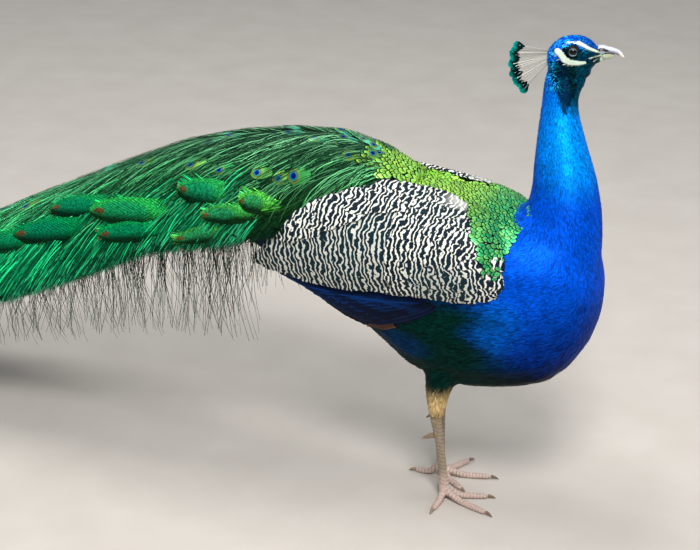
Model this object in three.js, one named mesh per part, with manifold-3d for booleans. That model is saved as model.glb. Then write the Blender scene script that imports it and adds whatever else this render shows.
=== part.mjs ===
// A life-size Indian peacock standing with its train folded and its tip on the floor.
// Millimetres, +Z up, the bill towards +X and the bird's left side towards +Y.
// The floor is z = 0 and the origin is under the middle of the whole bird's outer box.

import * as THREE from 'three';
import { LoftGeometry } from 'three/addons/geometries/LoftGeometry.js';
import { mergeVertices } from 'three/addons/utils/BufferGeometryUtils.js';
import Module from 'manifold-3d';

const wasm = await Module();
wasm.setup();

// ---------------------------------------------------------------- driving dimensions

const GAP = 0.35;            // clearance between touching pieces
const RIGHT = -1;            // the sign of y on each side of the bird
const LEFT = 1;

// The bird is laid out about a point on the floor between its feet, and the finished group
// is then moved along x to its own origin.
const RIGHT_FOOT = [20, -38];
const LEFT_FOOT = [-11, 28];

const HEAD = { x: 193, z: 731, yaw: 18 };
const EYE = { forward: -5.5, up: 12, out: 15.6, radius: 7.2 };
const BILL_ROOT = 31.5;       // where the bare culmen starts, ahead of the head's centre
const BILL_LENGTH = 36;
const NECK_CUTS = { base: 475, middle: 590, top: 682 };
const NECK_BASE_TILT = 37;   // degrees that the neck's lower cut leans forward
const WING_THICKNESS = 15;
const FLIGHT_THICKNESS = 7;
const HOCK_HEIGHT = 143;
const TOE_RADIUS = 5.9;
const PAD_HEIGHT = 4.4;      // of a toe's axis where its pads rest on the floor
const CLAW_LENGTH = 13;
const SPUR_LENGTH = 31;      // from the leg's axis to the tip
const SPUR_DROP = 14;
const SPUR_HEIGHT = 110;
const TRAIN_END = -1345;
const FRINGE_THICKNESS = 2;

const COLOURS = {
  blue: { color: 0x0a3fc4, roughness: 0.45, metalness: 0.3 },
  back: { color: 0x2fae3c, roughness: 0.45, metalness: 0.3 },
  barred: { color: 0xd8d4c4, roughness: 0.7, metalness: 0 },
  flight: { color: 0x0b2344, roughness: 0.5, metalness: 0.2 },
  train: { color: 0x0b7a3f, roughness: 0.5, metalness: 0.3 },
  tail: { color: 0x4a3a2c, roughness: 0.8, metalness: 0 },
  thigh: { color: 0xb09a6c, roughness: 0.85, metalness: 0 },
  leg: { color: 0x9b8d7c, roughness: 0.7, metalness: 0 },
  horn: { color: 0x8a7b6a, roughness: 0.45, metalness: 0 },
  bill: { color: 0xa9a39b, roughness: 0.4, metalness: 0 },
  eye: { color: 0x0a0808, roughness: 0.05, metalness: 0 },
  crest: { color: 0x0c6f86, roughness: 0.5, metalness: 0.2 },
};

// ---------------------------------------------------------------- solids

const radians = THREE.MathUtils.degToRad;

// A closed geometry as a manifold solid facing outwards.
function solidOf(geometry) {
  geometry.deleteAttribute('normal');
  geometry.deleteAttribute('uv');
  const merged = mergeVertices(geometry, 1e-4);
  const vertProperties = merged.attributes.position.array;
  const triVerts = new Uint32Array(merged.index.array);
  const made = new wasm.Manifold(new wasm.Mesh({ numProp: 3, vertProperties, triVerts }));
  if (made.volume() > 0) return made;
  triVerts.reverse();
  return new wasm.Manifold(new wasm.Mesh({ numProp: 3, vertProperties, triVerts }));
}

function geometryOf(solid) {
  const { vertProperties, triVerts } = solid.getMesh();
  return new THREE.BufferGeometry()
    .setAttribute('position', new THREE.BufferAttribute(vertProperties, 3))
    .setIndex(new THREE.BufferAttribute(triVerts, 1));
}

// A closed body through rings of points. The rings may run either way round: their area
// vector is compared with the way the loft goes, and they are reversed if it points back.
// A grown body also gets a copy of each end ring, moved on by that much.
function loft(rings, grow = 0) {
  const [ring, next] = rings.slice(rings.length / 2 - 1);
  const area = ring.reduce((sum, point, i) => (
    sum.add(new THREE.Vector3().crossVectors(point, ring[(i + 1) % ring.length]))
  ), new THREE.Vector3());
  const forwards = area.dot(next[0].clone().sub(ring[0])) > 0;
  const sections = forwards ? rings : rings.map((points) => points.toReversed());
  if (grow > 0) {
    sections.unshift(movedOn(sections[0], sections[1], grow));
    sections.push(movedOn(sections.at(-1), sections.at(-2), grow));
  }
  return solidOf(new LoftGeometry(sections, { closed: true, capStart: true, capEnd: true }));
}

// A ring moved by a distance along the line to its middle from the ring before it.
function movedOn(ring, before, distance) {
  const middle = (points) => points
    .reduce((sum, point) => sum.add(point), new THREE.Vector3())
    .divideScalar(points.length);
  const step = middle(ring).sub(middle(before)).setLength(distance);
  return ring.map((point) => point.clone().add(step));
}

function cut(solid, ...others) {
  return others.reduce((left, other) => left.subtract(other), solid);
}

// The Catmull-Rom value of one named number at t, from 0 to 1, along a list of stations.
function along(stations, key, t) {
  const last = stations.length - 1;
  const i = Math.min(Math.floor(t * last), last - 1);
  const s = t * last - i;
  const [a, b, c, d] = [i - 1, i, i + 1, i + 2].map(
    (k) => stations[THREE.MathUtils.clamp(k, 0, last)][key],
  );
  return b + 0.5 * s * (c - a + s * (2 * a - 5 * b + 4 * c - d + s * (3 * (b - c) + d - a)));
}

function steps(rows) {
  return Array.from({ length: rows }, (_, i) => i / (rows - 1));
}

function turns(sides) {
  return Array.from({ length: sides }, (_, i) => (i / sides) * 2 * Math.PI);
}

// cos or sin raised to a power with its sign kept, for sections squarer than an ellipse.
function squared(value, power) {
  return Math.sign(value) * Math.abs(value) ** power;
}

// A body lofted along x. Each station gives x, bottom, top and half (its half width).
function hull(stations, { rows = 18, sides = 24, power = 0.9, belly = 0.5, grow = 0 }) {
  return loft(steps(rows).map((t) => {
    const [x, bottom, top, half] = ['x', 'bottom', 'top', 'half'].map((k) => along(stations, k, t));
    const widest = bottom + (top - bottom) * belly;
    return turns(sides).map((angle) => {
      const up = squared(Math.sin(angle), power);
      const reach = up > 0 ? top - widest : widest - bottom;
      const aside = squared(Math.cos(angle), power);
      return new THREE.Vector3(x, (half + grow) * aside, widest + (reach + grow) * up);
    });
  }), grow);
}

// A round limb lofted along a curve. Each station gives x, y, z, wide and deep, the two
// half sizes of its section: wide lies across the limb and the reference direction.
function limb(stations, { rows = 10, sides = 12, reference = [1, 0, 0], grow = 0 } = {}) {
  const centre = (t) => new THREE.Vector3(...['x', 'y', 'z'].map((k) => along(stations, k, t)));
  const aside = new THREE.Vector3(...reference);
  return loft(steps(rows).map((t) => {
    const tangent = centre(Math.min(1, t + 0.02)).sub(centre(Math.max(0, t - 0.02))).normalize();
    const across = new THREE.Vector3().crossVectors(tangent, aside).normalize();
    const other = new THREE.Vector3().crossVectors(across, tangent).normalize();
    return turns(sides).map((angle) => centre(t)
      .addScaledVector(across, (along(stations, 'wide', t) + grow) * Math.cos(angle))
      .addScaledVector(other, (along(stations, 'deep', t) + grow) * Math.sin(angle)));
  }), grow);
}

// A curved blade lofted along x, such as a folded wing. Each station gives x and the blade's
// upper edge, bulge and lower edge as y and z. It is thickest at mid height.
function blade(stations, { rows = 14, spans = 9, thickness, side, grow = 0 }) {
  return loft(steps(rows).map((t) => {
    const at = (key) => along(stations, key, t);
    const arc = new THREE.QuadraticBezierCurve(
      new THREE.Vector2(at('upperY'), at('upperZ')),
      new THREE.Vector2(at('bulgeY'), at('bulgeZ')),
      new THREE.Vector2(at('lowerY'), at('lowerZ')),
    );
    const taper = Math.sin(Math.PI * THREE.MathUtils.clamp(t, 0.04, 0.96)) ** 0.35;
    const face = (s, outward) => {
      const point = arc.getPoint(s);
      const slope = arc.getTangent(s);
      const edge = Math.sin(Math.PI * THREE.MathUtils.clamp(s, 0.03, 0.97)) ** 0.5;
      const off = outward * (grow + 0.5 * thickness * taper * edge);
      const past = s === 1 ? grow : -grow * Number(s === 0);
      return new THREE.Vector3(
        at('x'),
        side * (point.x - slope.y * off + slope.x * past),
        point.y + slope.x * off + slope.y * past,
      );
    };
    const parts = steps(spans);
    return [...parts.map((s) => face(s, 1)), ...parts.toReversed().map((s) => face(s, -1))];
  }), grow);
}

// The parts of a solid above and below a plane. The plane's normal leans from +z towards +x
// by tilt degrees, and its distance from the origin is along that normal.
function above(solid, tilt, distance) {
  return solid.trimByPlane([Math.sin(radians(tilt)), 0, Math.cos(radians(tilt))], distance);
}

function below(solid, tilt, distance) {
  return solid.trimByPlane([-Math.sin(radians(tilt)), 0, -Math.cos(radians(tilt))], -distance);
}

// ---------------------------------------------------------------- head, neck and trunk

// Head pieces are made about the head's centre, bill along +x, then turned and set in place.
function placeHead(solid) {
  return solid.rotate([0, 0, HEAD.yaw]).translate([HEAD.x, 0, HEAD.z]);
}

function skull(grow = 0) {
  const stations = [
    { x: -41.5, bottom: -8, top: 4, half: 4 },
    { x: -38.5, bottom: -20, top: 13, half: 11.5 },
    { x: -26, bottom: -30, top: 26.5, half: 17.5 },
    { x: -8, bottom: -34, top: 32, half: 19.5 },
    { x: 8, bottom: -33, top: 31.5, half: 18.8 },
    { x: 19.5, bottom: -28.5, top: 26, half: 15.8 },
    { x: 27.5, bottom: -19, top: 18.5, half: 12 },
    { x: 33, bottom: -12.5, top: 13, half: 8.6 },
    { x: 39.5, bottom: -8.6, top: 2, half: 5.6 },
    { x: 45, bottom: -5.6, top: -3, half: 1.8 },
  ];
  return placeHead(hull(stations, { rows: 13, sides: 16, power: 0.95, belly: 0.5, grow }));
}

function upperBill(grow = 0) {
  const tip = BILL_ROOT + BILL_LENGTH;
  const stations = [
    { x: BILL_ROOT - 9, bottom: 2.2, top: 15, half: 10 },
    { x: BILL_ROOT + 2, bottom: 5.6, top: 17.2, half: 8.6 },
    { x: BILL_ROOT + 11, bottom: 7.2, top: 16.2, half: 6.8 },
    { x: BILL_ROOT + 21, bottom: 6.4, top: 14.2, half: 5.2 },
    { x: BILL_ROOT + 29, bottom: 3.2, top: 10.7, half: 3.8 },
    { x: tip - 2, bottom: 0.6, top: 5, half: 1.9 },
    { x: tip, bottom: -0.8, top: 1, half: 0.7 },
  ];
  return placeHead(hull(stations, { rows: 10, sides: 12, power: 0.85, belly: 0.3, grow }));
}

function lowerBill(grow = 0) {
  const stations = [
    { x: BILL_ROOT - 11, bottom: -11, top: 1, half: 9.4 },
    { x: BILL_ROOT, bottom: -5.4, top: 4.8, half: 8 },
    { x: BILL_ROOT + 9, bottom: -2.8, top: 6.8, half: 6.2 },
    { x: BILL_ROOT + 18, bottom: -1, top: 6, half: 3.8 },
    { x: BILL_ROOT + 22.5, bottom: 0.6, top: 3.6, half: 1.4 },
  ];
  return placeHead(hull(stations, { rows: 7, sides: 10, power: 0.85, belly: 0.7, grow }));
}

function eye(side, grow = 0) {
  const ball = new THREE.SphereGeometry(EYE.radius + grow, 12, 8);
  return placeHead(solidOf(ball).translate([EYE.forward, side * EYE.out, EYE.up]));
}

function neck() {
  const stations = [
    { x: 112, y: 0, z: 325, wide: 72, deep: 96 },
    { x: 154, y: 0, z: 400, wide: 72, deep: 88 },
    { x: 181, y: 0, z: 460, wide: 60, deep: 66 },
    { x: 186, y: 0, z: 514, wide: 48, deep: 53 },
    { x: 179, y: 0, z: 574, wide: 37, deep: 41 },
    { x: 173, y: 0, z: 625, wide: 28.5, deep: 31 },
    { x: 171.5, y: 0, z: 660, wide: 23, deep: 25.5 },
    { x: 174.5, y: 0, z: 688, wide: 21, deep: 27 },
    { x: 180, y: 2, z: 705, wide: 18, deep: 30.5 },
    { x: 181, y: 2, z: 718, wide: 15, deep: 28 },
  ];
  return limb(stations, { rows: 14, sides: 16 });
}

const TRUNK = [
  { x: 245, bottom: 350, top: 384, half: 14 },
  { x: 238, bottom: 314, top: 424, half: 46 },
  { x: 220, bottom: 272, top: 456, half: 70 },
  { x: 186, bottom: 231, top: 478, half: 88 },
  { x: 146, bottom: 212, top: 490, half: 98 },
  { x: 92, bottom: 199, top: 499, half: 103 },
  { x: 35, bottom: 193, top: 506, half: 105 },
  { x: -22, bottom: 204, top: 510, half: 102 },
  { x: -75, bottom: 240, top: 511, half: 94 },
  { x: -130, bottom: 279, top: 507, half: 84 },
  { x: -195, bottom: 314, top: 496, half: 70 },
  { x: -260, bottom: 343, top: 478, half: 54 },
  { x: -318, bottom: 368, top: 458, half: 38 },
  { x: -360, bottom: 392, top: 434, half: 18 },
];

function trunkHull(grow = 0) {
  return hull(TRUNK, { rows: 17, sides: 18, power: 0.88, belly: 0.56, grow });
}

// ---------------------------------------------------------------- wings

// The covered part of the folded wing: y is measured outwards from the bird's middle plane.
const WING = [
  { x: 138, upperY: 76, upperZ: 408, bulgeY: 88, bulgeZ: 400, lowerY: 90, lowerZ: 388 },
  { x: 118, upperY: 68, upperZ: 454, bulgeY: 114, bulgeZ: 438, lowerY: 100, lowerZ: 378 },
  { x: 92, upperY: 52, upperZ: 488, bulgeY: 132, bulgeZ: 458, lowerY: 106, lowerZ: 372 },
  { x: 45, upperY: 38, upperZ: 507, bulgeY: 145, bulgeZ: 468, lowerY: 111, lowerZ: 371 },
  { x: -10, upperY: 34, upperZ: 516, bulgeY: 148, bulgeZ: 469, lowerY: 112, lowerZ: 370 },
  { x: -65, upperY: 38, upperZ: 520, bulgeY: 145, bulgeZ: 466, lowerY: 109, lowerZ: 362 },
  { x: -120, upperY: 54, upperZ: 520, bulgeY: 141, bulgeZ: 460, lowerY: 105, lowerZ: 355 },
  { x: -170, upperY: 76, upperZ: 511, bulgeY: 134, bulgeZ: 450, lowerY: 101, lowerZ: 354 },
  { x: -206, upperY: 90, upperZ: 484, bulgeY: 126, bulgeZ: 430, lowerY: 98, lowerZ: 357 },
  { x: -236, upperY: 98, upperZ: 450, bulgeY: 116, bulgeZ: 410, lowerY: 96, lowerZ: 361 },
  { x: -256, upperY: 99, upperZ: 416, bulgeY: 107, bulgeZ: 394, lowerY: 95, lowerZ: 364 },
  { x: -280, upperY: 96, upperZ: 391, bulgeY: 98, bulgeZ: 382, lowerY: 95, lowerZ: 371 },
];

function wing(side, grow = 0) {
  return blade(WING, { rows: 12, spans: 7, thickness: WING_THICKNESS, side, grow });
}

// The dark outer flight feathers, which show below the covered part.
const FLIGHT = [
  { x: 40, upperY: 99, upperZ: 372, bulgeY: 103, bulgeZ: 364, lowerY: 101, lowerZ: 350 },
  { x: 5, upperY: 98, upperZ: 372, bulgeY: 105, bulgeZ: 352, lowerY: 98, lowerZ: 325 },
  { x: -35, upperY: 97, upperZ: 370, bulgeY: 105, bulgeZ: 344, lowerY: 93, lowerZ: 306 },
  { x: -75, upperY: 95, upperZ: 366, bulgeY: 104, bulgeZ: 336, lowerY: 88, lowerZ: 294 },
  { x: -115, upperY: 93, upperZ: 360, bulgeY: 101, bulgeZ: 334, lowerY: 86, lowerZ: 300 },
  { x: -155, upperY: 90, upperZ: 358, bulgeY: 96, bulgeZ: 338, lowerY: 86, lowerZ: 318 },
  { x: -195, upperY: 87, upperZ: 360, bulgeY: 91, bulgeZ: 352, lowerY: 86, lowerZ: 344 },
  { x: -240, upperY: 84, upperZ: 364, bulgeY: 85, bulgeZ: 361, lowerY: 84, lowerZ: 358 },
];

function flight(side, grow = 0) {
  return blade(FLIGHT, { rows: 9, spans: 5, thickness: FLIGHT_THICKNESS, side, grow });
}

// ---------------------------------------------------------------- train and tail

// The folded train: an arched mass of long feathers from the back to the floor. Ridge is the
// height of its top line, drop the fall from there to its edges and half its half width.
const TRAIN = [
  { x: -45, ridge: 524, drop: 12, half: 26, hollow: 2 },
  { x: -110, ridge: 553, drop: 70, half: 74, hollow: 20 },
  { x: -180, ridge: 567, drop: 119, half: 106, hollow: 40 },
  { x: -260, ridge: 561, drop: 137, half: 124, hollow: 50 },
  { x: -350, ridge: 544, drop: 139, half: 133, hollow: 50 },
  { x: -450, ridge: 515, drop: 135, half: 136, hollow: 48 },
  { x: -560, ridge: 466, drop: 143, half: 136, hollow: 50 },
  { x: -680, ridge: 408, drop: 140, half: 134, hollow: 48 },
  { x: -800, ridge: 348, drop: 130, half: 130, hollow: 42 },
  { x: -930, ridge: 283, drop: 116, half: 124, hollow: 36 },
  { x: -1060, ridge: 216, drop: 100, half: 115, hollow: 28 },
  { x: -1180, ridge: 150, drop: 84, half: 102, hollow: 18 },
  { x: -1280, ridge: 84, drop: 66, half: 84, hollow: 8 },
  { x: -1330, ridge: 42, drop: 42, half: 62, hollow: 1 },
  { x: TRAIN_END, ridge: 14, drop: 16, half: 34, hollow: 0.5 },
];

function train(grow = 0) {
  const across = steps(9);
  const keys = ['x', 'ridge', 'drop', 'half', 'hollow'];
  const solid = loft(steps(22).map((t) => {
    const [x, ridge, drop, half, hollow] = keys.map((key) => along(TRAIN, key, t));
    const top = across.map((s) => new THREE.Vector3(
      x,
      -(half + grow) * Math.cos(Math.PI * s),
      ridge - drop - grow + (drop + 2 * grow) * Math.sin(Math.PI * s) ** 0.9,
    ));
    const under = across.slice(1, -1).toReversed().map((s) => new THREE.Vector3(
      x,
      -(half - 4 + grow) * Math.cos(Math.PI * s),
      ridge - drop + hollow * Math.sin(Math.PI * s) - 3 - grow,
    ));
    return [...top, ...under];
  }), grow);
  return above(solid, 0, 0);
}

// The loose barbs that hang from each edge of the train, as one thin curtain a side.
const FRINGE = [
  { x: -262, top: 452, bottom: 330 },
  { x: -285, top: 452, bottom: 262 },
  { x: -320, top: 450, bottom: 238 },
  { x: -380, top: 440, bottom: 240 },
  { x: -460, top: 418, bottom: 232 },
  { x: -560, top: 376, bottom: 206 },
  { x: -670, top: 322, bottom: 176 },
  { x: -780, top: 272, bottom: 142 },
  { x: -890, top: 220, bottom: 104 },
  { x: -990, top: 176, bottom: 76 },
  { x: -1060, top: 142, bottom: 74 },
  { x: -1085, top: 130, bottom: 90 },
];

function fringe(side) {
  const inset = 7;         // how far the curtain hangs inside the train's edge
  return loft(steps(10).map((t) => {
    const [x, top, bottom] = ['x', 'top', 'bottom'].map((key) => along(FRINGE, key, t));
    const reach = THREE.MathUtils.mapLinear(x, FRINGE[0].x, FRINGE.at(-1).x, 116, 106);
    const inner = side * (reach - inset - FRINGE_THICKNESS);
    const outer = side * (reach - inset);
    return [
      new THREE.Vector3(x, inner, bottom),
      new THREE.Vector3(x, outer, bottom),
      new THREE.Vector3(x, outer, top),
      new THREE.Vector3(x, inner, top),
    ];
  }));
}

// The short stiff tail, a shallow fan that props the train up from below.
function tail() {
  const stations = [
    { x: -300, y: 0, z: 426, wide: 26, deep: 8 },
    { x: -380, y: 0, z: 411, wide: 44, deep: 8 },
    { x: -480, y: 0, z: 382, wide: 60, deep: 7 },
    { x: -590, y: 0, z: 334, wide: 72, deep: 6 },
    { x: -670, y: 0, z: 296, wide: 68, deep: 5 },
    { x: -715, y: 0, z: 272, wide: 42, deep: 3 },
  ];
  return limb(stations, { rows: 8, sides: 10, reference: [0, 0, 1] });
}

// ---------------------------------------------------------------- legs

const LEGS = [
  { name: 'right', side: RIGHT, foot: RIGHT_FOOT, hock: [8, -44], hip: [30, -52], spurShare: 1 },
  { name: 'left', side: LEFT, foot: LEFT_FOOT, hock: [-17, 40], hip: [8, 50], spurShare: 0.8 },
];

function thigh({ hock, hip }) {
  const stations = [
    { x: hip[0], y: hip[1], z: 262, wide: 26, deep: 36 },
    { x: (hip[0] + 2 * hock[0]) / 3, y: (hip[1] + hock[1]) / 2, z: 215, wide: 21, deep: 25 },
    { x: hock[0], y: hock[1], z: 180, wide: 15, deep: 17.5 },
    { x: hock[0], y: hock[1], z: HOCK_HEIGHT + 8, wide: 11.5, deep: 12.5 },
    { x: hock[0], y: hock[1], z: HOCK_HEIGHT - 2, wide: 9, deep: 10 },
  ];
  return above(limb(stations, { rows: 8, sides: 12 }), 0, HOCK_HEIGHT + GAP / 2);
}

function tarsus({ foot, hock }, grow = 0) {
  const at = (share) => foot.map((end, i) => THREE.MathUtils.lerp(hock[i], end, share));
  const [low, high] = [at(0.9), at(0.35)];
  const stations = [
    { x: hock[0] - 1, y: hock[1], z: HOCK_HEIGHT + 2, wide: 7.5, deep: 9 },
    { x: hock[0] - 1, y: hock[1], z: HOCK_HEIGHT - 10, wide: 7.6, deep: 9.6 },
    { x: high[0] - 1, y: high[1], z: 108, wide: 6, deep: 7.6 },
    { x: low[0] - 1, y: low[1], z: 45, wide: 6, deep: 7.4 },
    { x: foot[0], y: foot[1], z: 24, wide: 8.4, deep: 8.8 },
    { x: foot[0], y: foot[1], z: 13, wide: 8.4, deep: 8 },
    { x: foot[0], y: foot[1], z: 9, wide: 5, deep: 5 },
  ];
  return below(limb(stations, { rows: 9, sides: 10, grow }), 0, HOCK_HEIGHT - GAP / 2 + grow);
}

// A spur stands out behind each tarsus, leaning down and a little inwards.
function spur({ foot, hock, side, spurShare }) {
  const root = foot.map((end, i) => THREE.MathUtils.lerp(hock[i], end, 0.3));
  const station = (share, wide, deep) => ({
    x: root[0] - SPUR_LENGTH * spurShare * share,
    y: root[1] - side * 4 * share,
    z: SPUR_HEIGHT - SPUR_DROP * share ** 1.5,
    wide,
    deep,
  });
  const stations = [station(0, 5, 5.6), station(0.5, 4, 4.4), station(1, 0.8, 0.9)];
  return limb(stations, { rows: 5, sides: 8, reference: [0, 0, 1] });
}

// Each toe runs from the foot's joint in a direction, in degrees from +x towards +y, and its
// length is measured to the claw's tip. Lift is the height of its root.
const TOES = {
  right: [
    { name: 'middle', heading: -18.4, length: 98, lift: 17 },
    { name: 'inner', heading: 20, length: 82, lift: 15 },
    { name: 'outer', heading: -89, length: 62, lift: 15 },
    { name: 'hind', heading: 114, length: 46, lift: 27 },
  ],
  left: [
    { name: 'middle', heading: 14.2, length: 94, lift: 17 },
    { name: 'inner', heading: -36, length: 74, lift: 15 },
    { name: 'outer', heading: 66, length: 78, lift: 15 },
    { name: 'hind', heading: 187, length: 54, lift: 27 },
  ],
};

// Stations along a toe: share of its length to the claw's root, share of its root's rise
// above the pads, and radius. The pads reach below the floor and are trimmed flat there.
const TOE_SHAPE = [
  { share: 0.0, rise: 1.0, radius: 1.25 },
  { share: 0.16, rise: 0.56, radius: 1.12 },
  { share: 0.34, rise: 0.14, radius: 1.0 },
  { share: 0.5, rise: 0, radius: 1.04 },
  { share: 0.66, rise: 0, radius: 0.92 },
  { share: 0.82, rise: 0, radius: 0.94 },
  { share: 0.95, rise: 0, radius: 0.78 },
  { share: 1.0, rise: 0, radius: 0.45 },
];

function alongToe(foot, { heading, length }, share) {
  const run = (length - CLAW_LENGTH) * share;
  const angle = radians(heading);
  return [foot[0] + run * Math.cos(angle), foot[1] + run * Math.sin(angle)];
}

function toe(foot, spec, grow = 0) {
  const stations = TOE_SHAPE.map(({ share, rise, radius }) => {
    const [x, y] = alongToe(foot, spec, share);
    const z = THREE.MathUtils.lerp(PAD_HEIGHT, spec.lift, rise);
    const thick = TOE_RADIUS * radius;
    return { x, y, z, wide: thick, deep: thick * 0.9 };
  });
  return above(limb(stations, { rows: 7, sides: 8, reference: [0, 0, 1], grow }), 0, -grow);
}

function claw(foot, spec) {
  const [x, y] = alongToe(foot, spec, 0.95);
  const [dx, dy] = [Math.cos(radians(spec.heading)), Math.sin(radians(spec.heading))];
  const reach = CLAW_LENGTH + (spec.length - CLAW_LENGTH) * 0.05;
  const station = (share, z, wide, deep) => (
    { x: x + dx * reach * share, y: y + dy * reach * share, z, wide, deep }
  );
  const stations = [
    station(0, PAD_HEIGHT, 1.8, 1.8),
    station(0.35, PAD_HEIGHT + 0.8, 3, 2.9),
    station(0.7, PAD_HEIGHT - 0.4, 1.9, 1.8),
    station(1, 1.2, 0.6, 0.6),
  ];
  return limb(stations, { rows: 4, sides: 6, reference: [0, 0, 1] });
}

// ---------------------------------------------------------------- crest

// The crest's outline as a flat fan behind the crown, to the tips of its feathers.
function crest() {
  const root = new THREE.Vector2(-38, 0);
  const [first, last] = [radians(163), radians(235)];
  const reach = (share) => 53.5 + 12.5 * share ** 1.1;
  const rim = steps(9).map((share) => {
    const angle = THREE.MathUtils.lerp(first, last, share);
    return root.clone().add(new THREE.Vector2(Math.cos(angle), Math.sin(angle))
      .multiplyScalar(reach(share)));
  });
  const outline = new THREE.Shape([new THREE.Vector2(-32, 9), ...rim, new THREE.Vector2(-32, -11)]);
  const thickness = 2.4;
  const plate = new THREE.ExtrudeGeometry(outline, { depth: thickness, bevelEnabled: false });
  plate.translate(0, 0, -thickness / 2).rotateX(Math.PI / 2);
  return placeHead(solidOf(plate));
}

// ---------------------------------------------------------------- assembly

const peacock = new THREE.Group();

function add(name, solid, colour) {
  const mesh = new THREE.Mesh(geometryOf(solid), new THREE.MeshStandardMaterial(COLOURS[colour]));
  mesh.name = name;
  peacock.add(mesh);
}

const sides = [{ name: 'right', side: RIGHT }, { name: 'left', side: LEFT }];
const both = (make) => sides.map(({ side }) => make(side));

// Head, bill and eyes
const flesh = trunkHull().add(neck()).add(skull());
const aboveNeck = above(flesh, 0, NECK_CUTS.top + GAP / 2);
add('head', cut(aboveNeck, ...both((side) => eye(side, GAP))), 'blue');
const face = skull(GAP);
add('bill_upper', cut(upperBill(), face), 'bill');
add('bill_lower', cut(lowerBill(), face, upperBill(GAP)), 'bill');
for (const { name, side } of sides) add(`eye_${name}`, eye(side), 'eye');
add('crest', cut(crest(), face), 'crest');

// Neck and trunk
const aboveTrunk = above(flesh, NECK_BASE_TILT, NECK_CUTS.base + GAP / 2);
const neckPart = below(aboveTrunk, 0, NECK_CUTS.top - GAP / 2);
add('neck_upper', above(neckPart, 0, NECK_CUTS.middle + GAP / 2), 'blue');
add('neck_lower', cut(below(neckPart, 0, NECK_CUTS.middle - GAP / 2),
  ...both((side) => wing(side, GAP))), 'blue');
const trunkPart = below(flesh, NECK_BASE_TILT, NECK_CUTS.base - GAP / 2);
add('trunk', cut(trunkPart, train(GAP), ...both((side) => wing(side, GAP)),
  ...both((side) => flight(side, GAP))), 'back');

// Wings
for (const { name, side } of sides) {
  add(`wing_${name}`, wing(side), 'barred');
  add(`flight_${name}`, cut(flight(side), wing(side, GAP)), 'flight');
}

// Train and tail
add('train', cut(train(), ...both((side) => wing(side, GAP))), 'train');
for (const { name, side } of sides) {
  add(`fringe_${name}`, cut(fringe(side), train(GAP), wing(side, GAP)), 'train');
}
add('tail', cut(tail(), train(GAP), trunkHull(GAP)), 'tail');

// Legs
const belly = trunkHull(GAP);
for (const leg of LEGS) {
  const { name, foot } = leg;
  add(`thigh_${name}`, cut(thigh(leg), belly), 'thigh');
  add(`tarsus_${name}`, tarsus(leg), 'leg');
  add(`spur_${name}`, cut(spur(leg), tarsus(leg, GAP)), 'horn');
  const laid = [tarsus(leg, GAP)];
  for (const spec of TOES[name]) {
    add(`toe_${spec.name}_${name}`, cut(toe(foot, spec), ...laid), 'leg');
    add(`claw_${spec.name}_${name}`, cut(claw(foot, spec), toe(foot, spec, GAP)), 'horn');
    laid.push(toe(foot, spec, GAP));
  }
}

// The origin goes on the floor under the middle of the outer box
const middle = new THREE.Box3().setFromObject(peacock).getCenter(new THREE.Vector3());
peacock.position.set(-middle.x, -middle.y, 0);

export default peacock;
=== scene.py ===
"""The looks of a life-size Indian peacock: its skin, every feather tract, bill, eyes and feet.

Lengths are millimetres in the bird's own layout (x forward, y to its left, z up from the
floor, x = 0 between its feet) until new_mesh() turns them into the frame's metres.
"""

import bpy
import numpy as np
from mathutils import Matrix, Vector
from mathutils.bvhtree import BVHTree


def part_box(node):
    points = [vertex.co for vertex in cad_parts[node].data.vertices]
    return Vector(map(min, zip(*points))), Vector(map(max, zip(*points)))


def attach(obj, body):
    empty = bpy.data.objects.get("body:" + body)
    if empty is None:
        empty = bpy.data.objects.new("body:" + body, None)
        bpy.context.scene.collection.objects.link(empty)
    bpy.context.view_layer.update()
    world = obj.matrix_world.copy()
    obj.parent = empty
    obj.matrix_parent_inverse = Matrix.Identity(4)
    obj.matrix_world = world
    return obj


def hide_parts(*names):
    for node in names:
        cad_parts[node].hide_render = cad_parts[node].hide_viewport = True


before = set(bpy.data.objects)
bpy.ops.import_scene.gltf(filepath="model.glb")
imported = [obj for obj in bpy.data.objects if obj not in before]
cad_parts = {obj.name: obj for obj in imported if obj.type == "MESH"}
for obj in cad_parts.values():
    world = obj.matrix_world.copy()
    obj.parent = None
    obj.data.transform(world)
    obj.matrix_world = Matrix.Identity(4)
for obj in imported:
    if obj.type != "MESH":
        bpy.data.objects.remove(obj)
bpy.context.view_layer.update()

# ---------------------------------------------------------------- driving values

MM = 0.001
TRAIN_TIP = -1345.0                     # x of the train's end in the bird's layout
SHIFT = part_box("train")[0].x - TRAIN_TIP * MM
RANDOM = np.random.default_rng(11)
SIDES = {"right": -1, "left": 1}

# Millimetres: the grain each remeshed surface is cut to, and how far inside the CAD's
# outline the plain surface under the feathers lies.
VOXEL = {"body": 3.6, "head": 1.1, "legs": 1.3, "mantle": 5.0, "wing": 4.0, "flight": 3.0,
         "train": 6.0, "bill": 0.8, "claws": 0.55}
BED_DEPTH = {"wing": 1.6, "flight": 1.2, "train": 7.0}
COAT_DEPTH = 1.6                        # of the skin below the CAD's outline
COAT_LIFT = 2.8                         # of the small feathers' tips above the skin
HEAD_DEPTH = 0.9
HEAD = {"x": 193.0, "z": 731.0, "yaw": 18.0}
EYE = {"forward": -5.5, "up": 12.0, "out": 15.6, "radius": 7.2}
HEAD_BASE = 676.0                       # below this height the neck's coat takes over
HOCK = 143.0
FEET = {"right": (20.0, -38.0), "left": (-11.0, 28.0)}
BODY_NODES = ["trunk", "neck_lower", "neck_upper", "head", "thigh_right", "thigh_left"]
LEG_NODES = [f"{part}_{side}" for side in SIDES for part in (
    "tarsus", "toe_middle", "toe_inner", "toe_outer", "toe_hind")]

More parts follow.
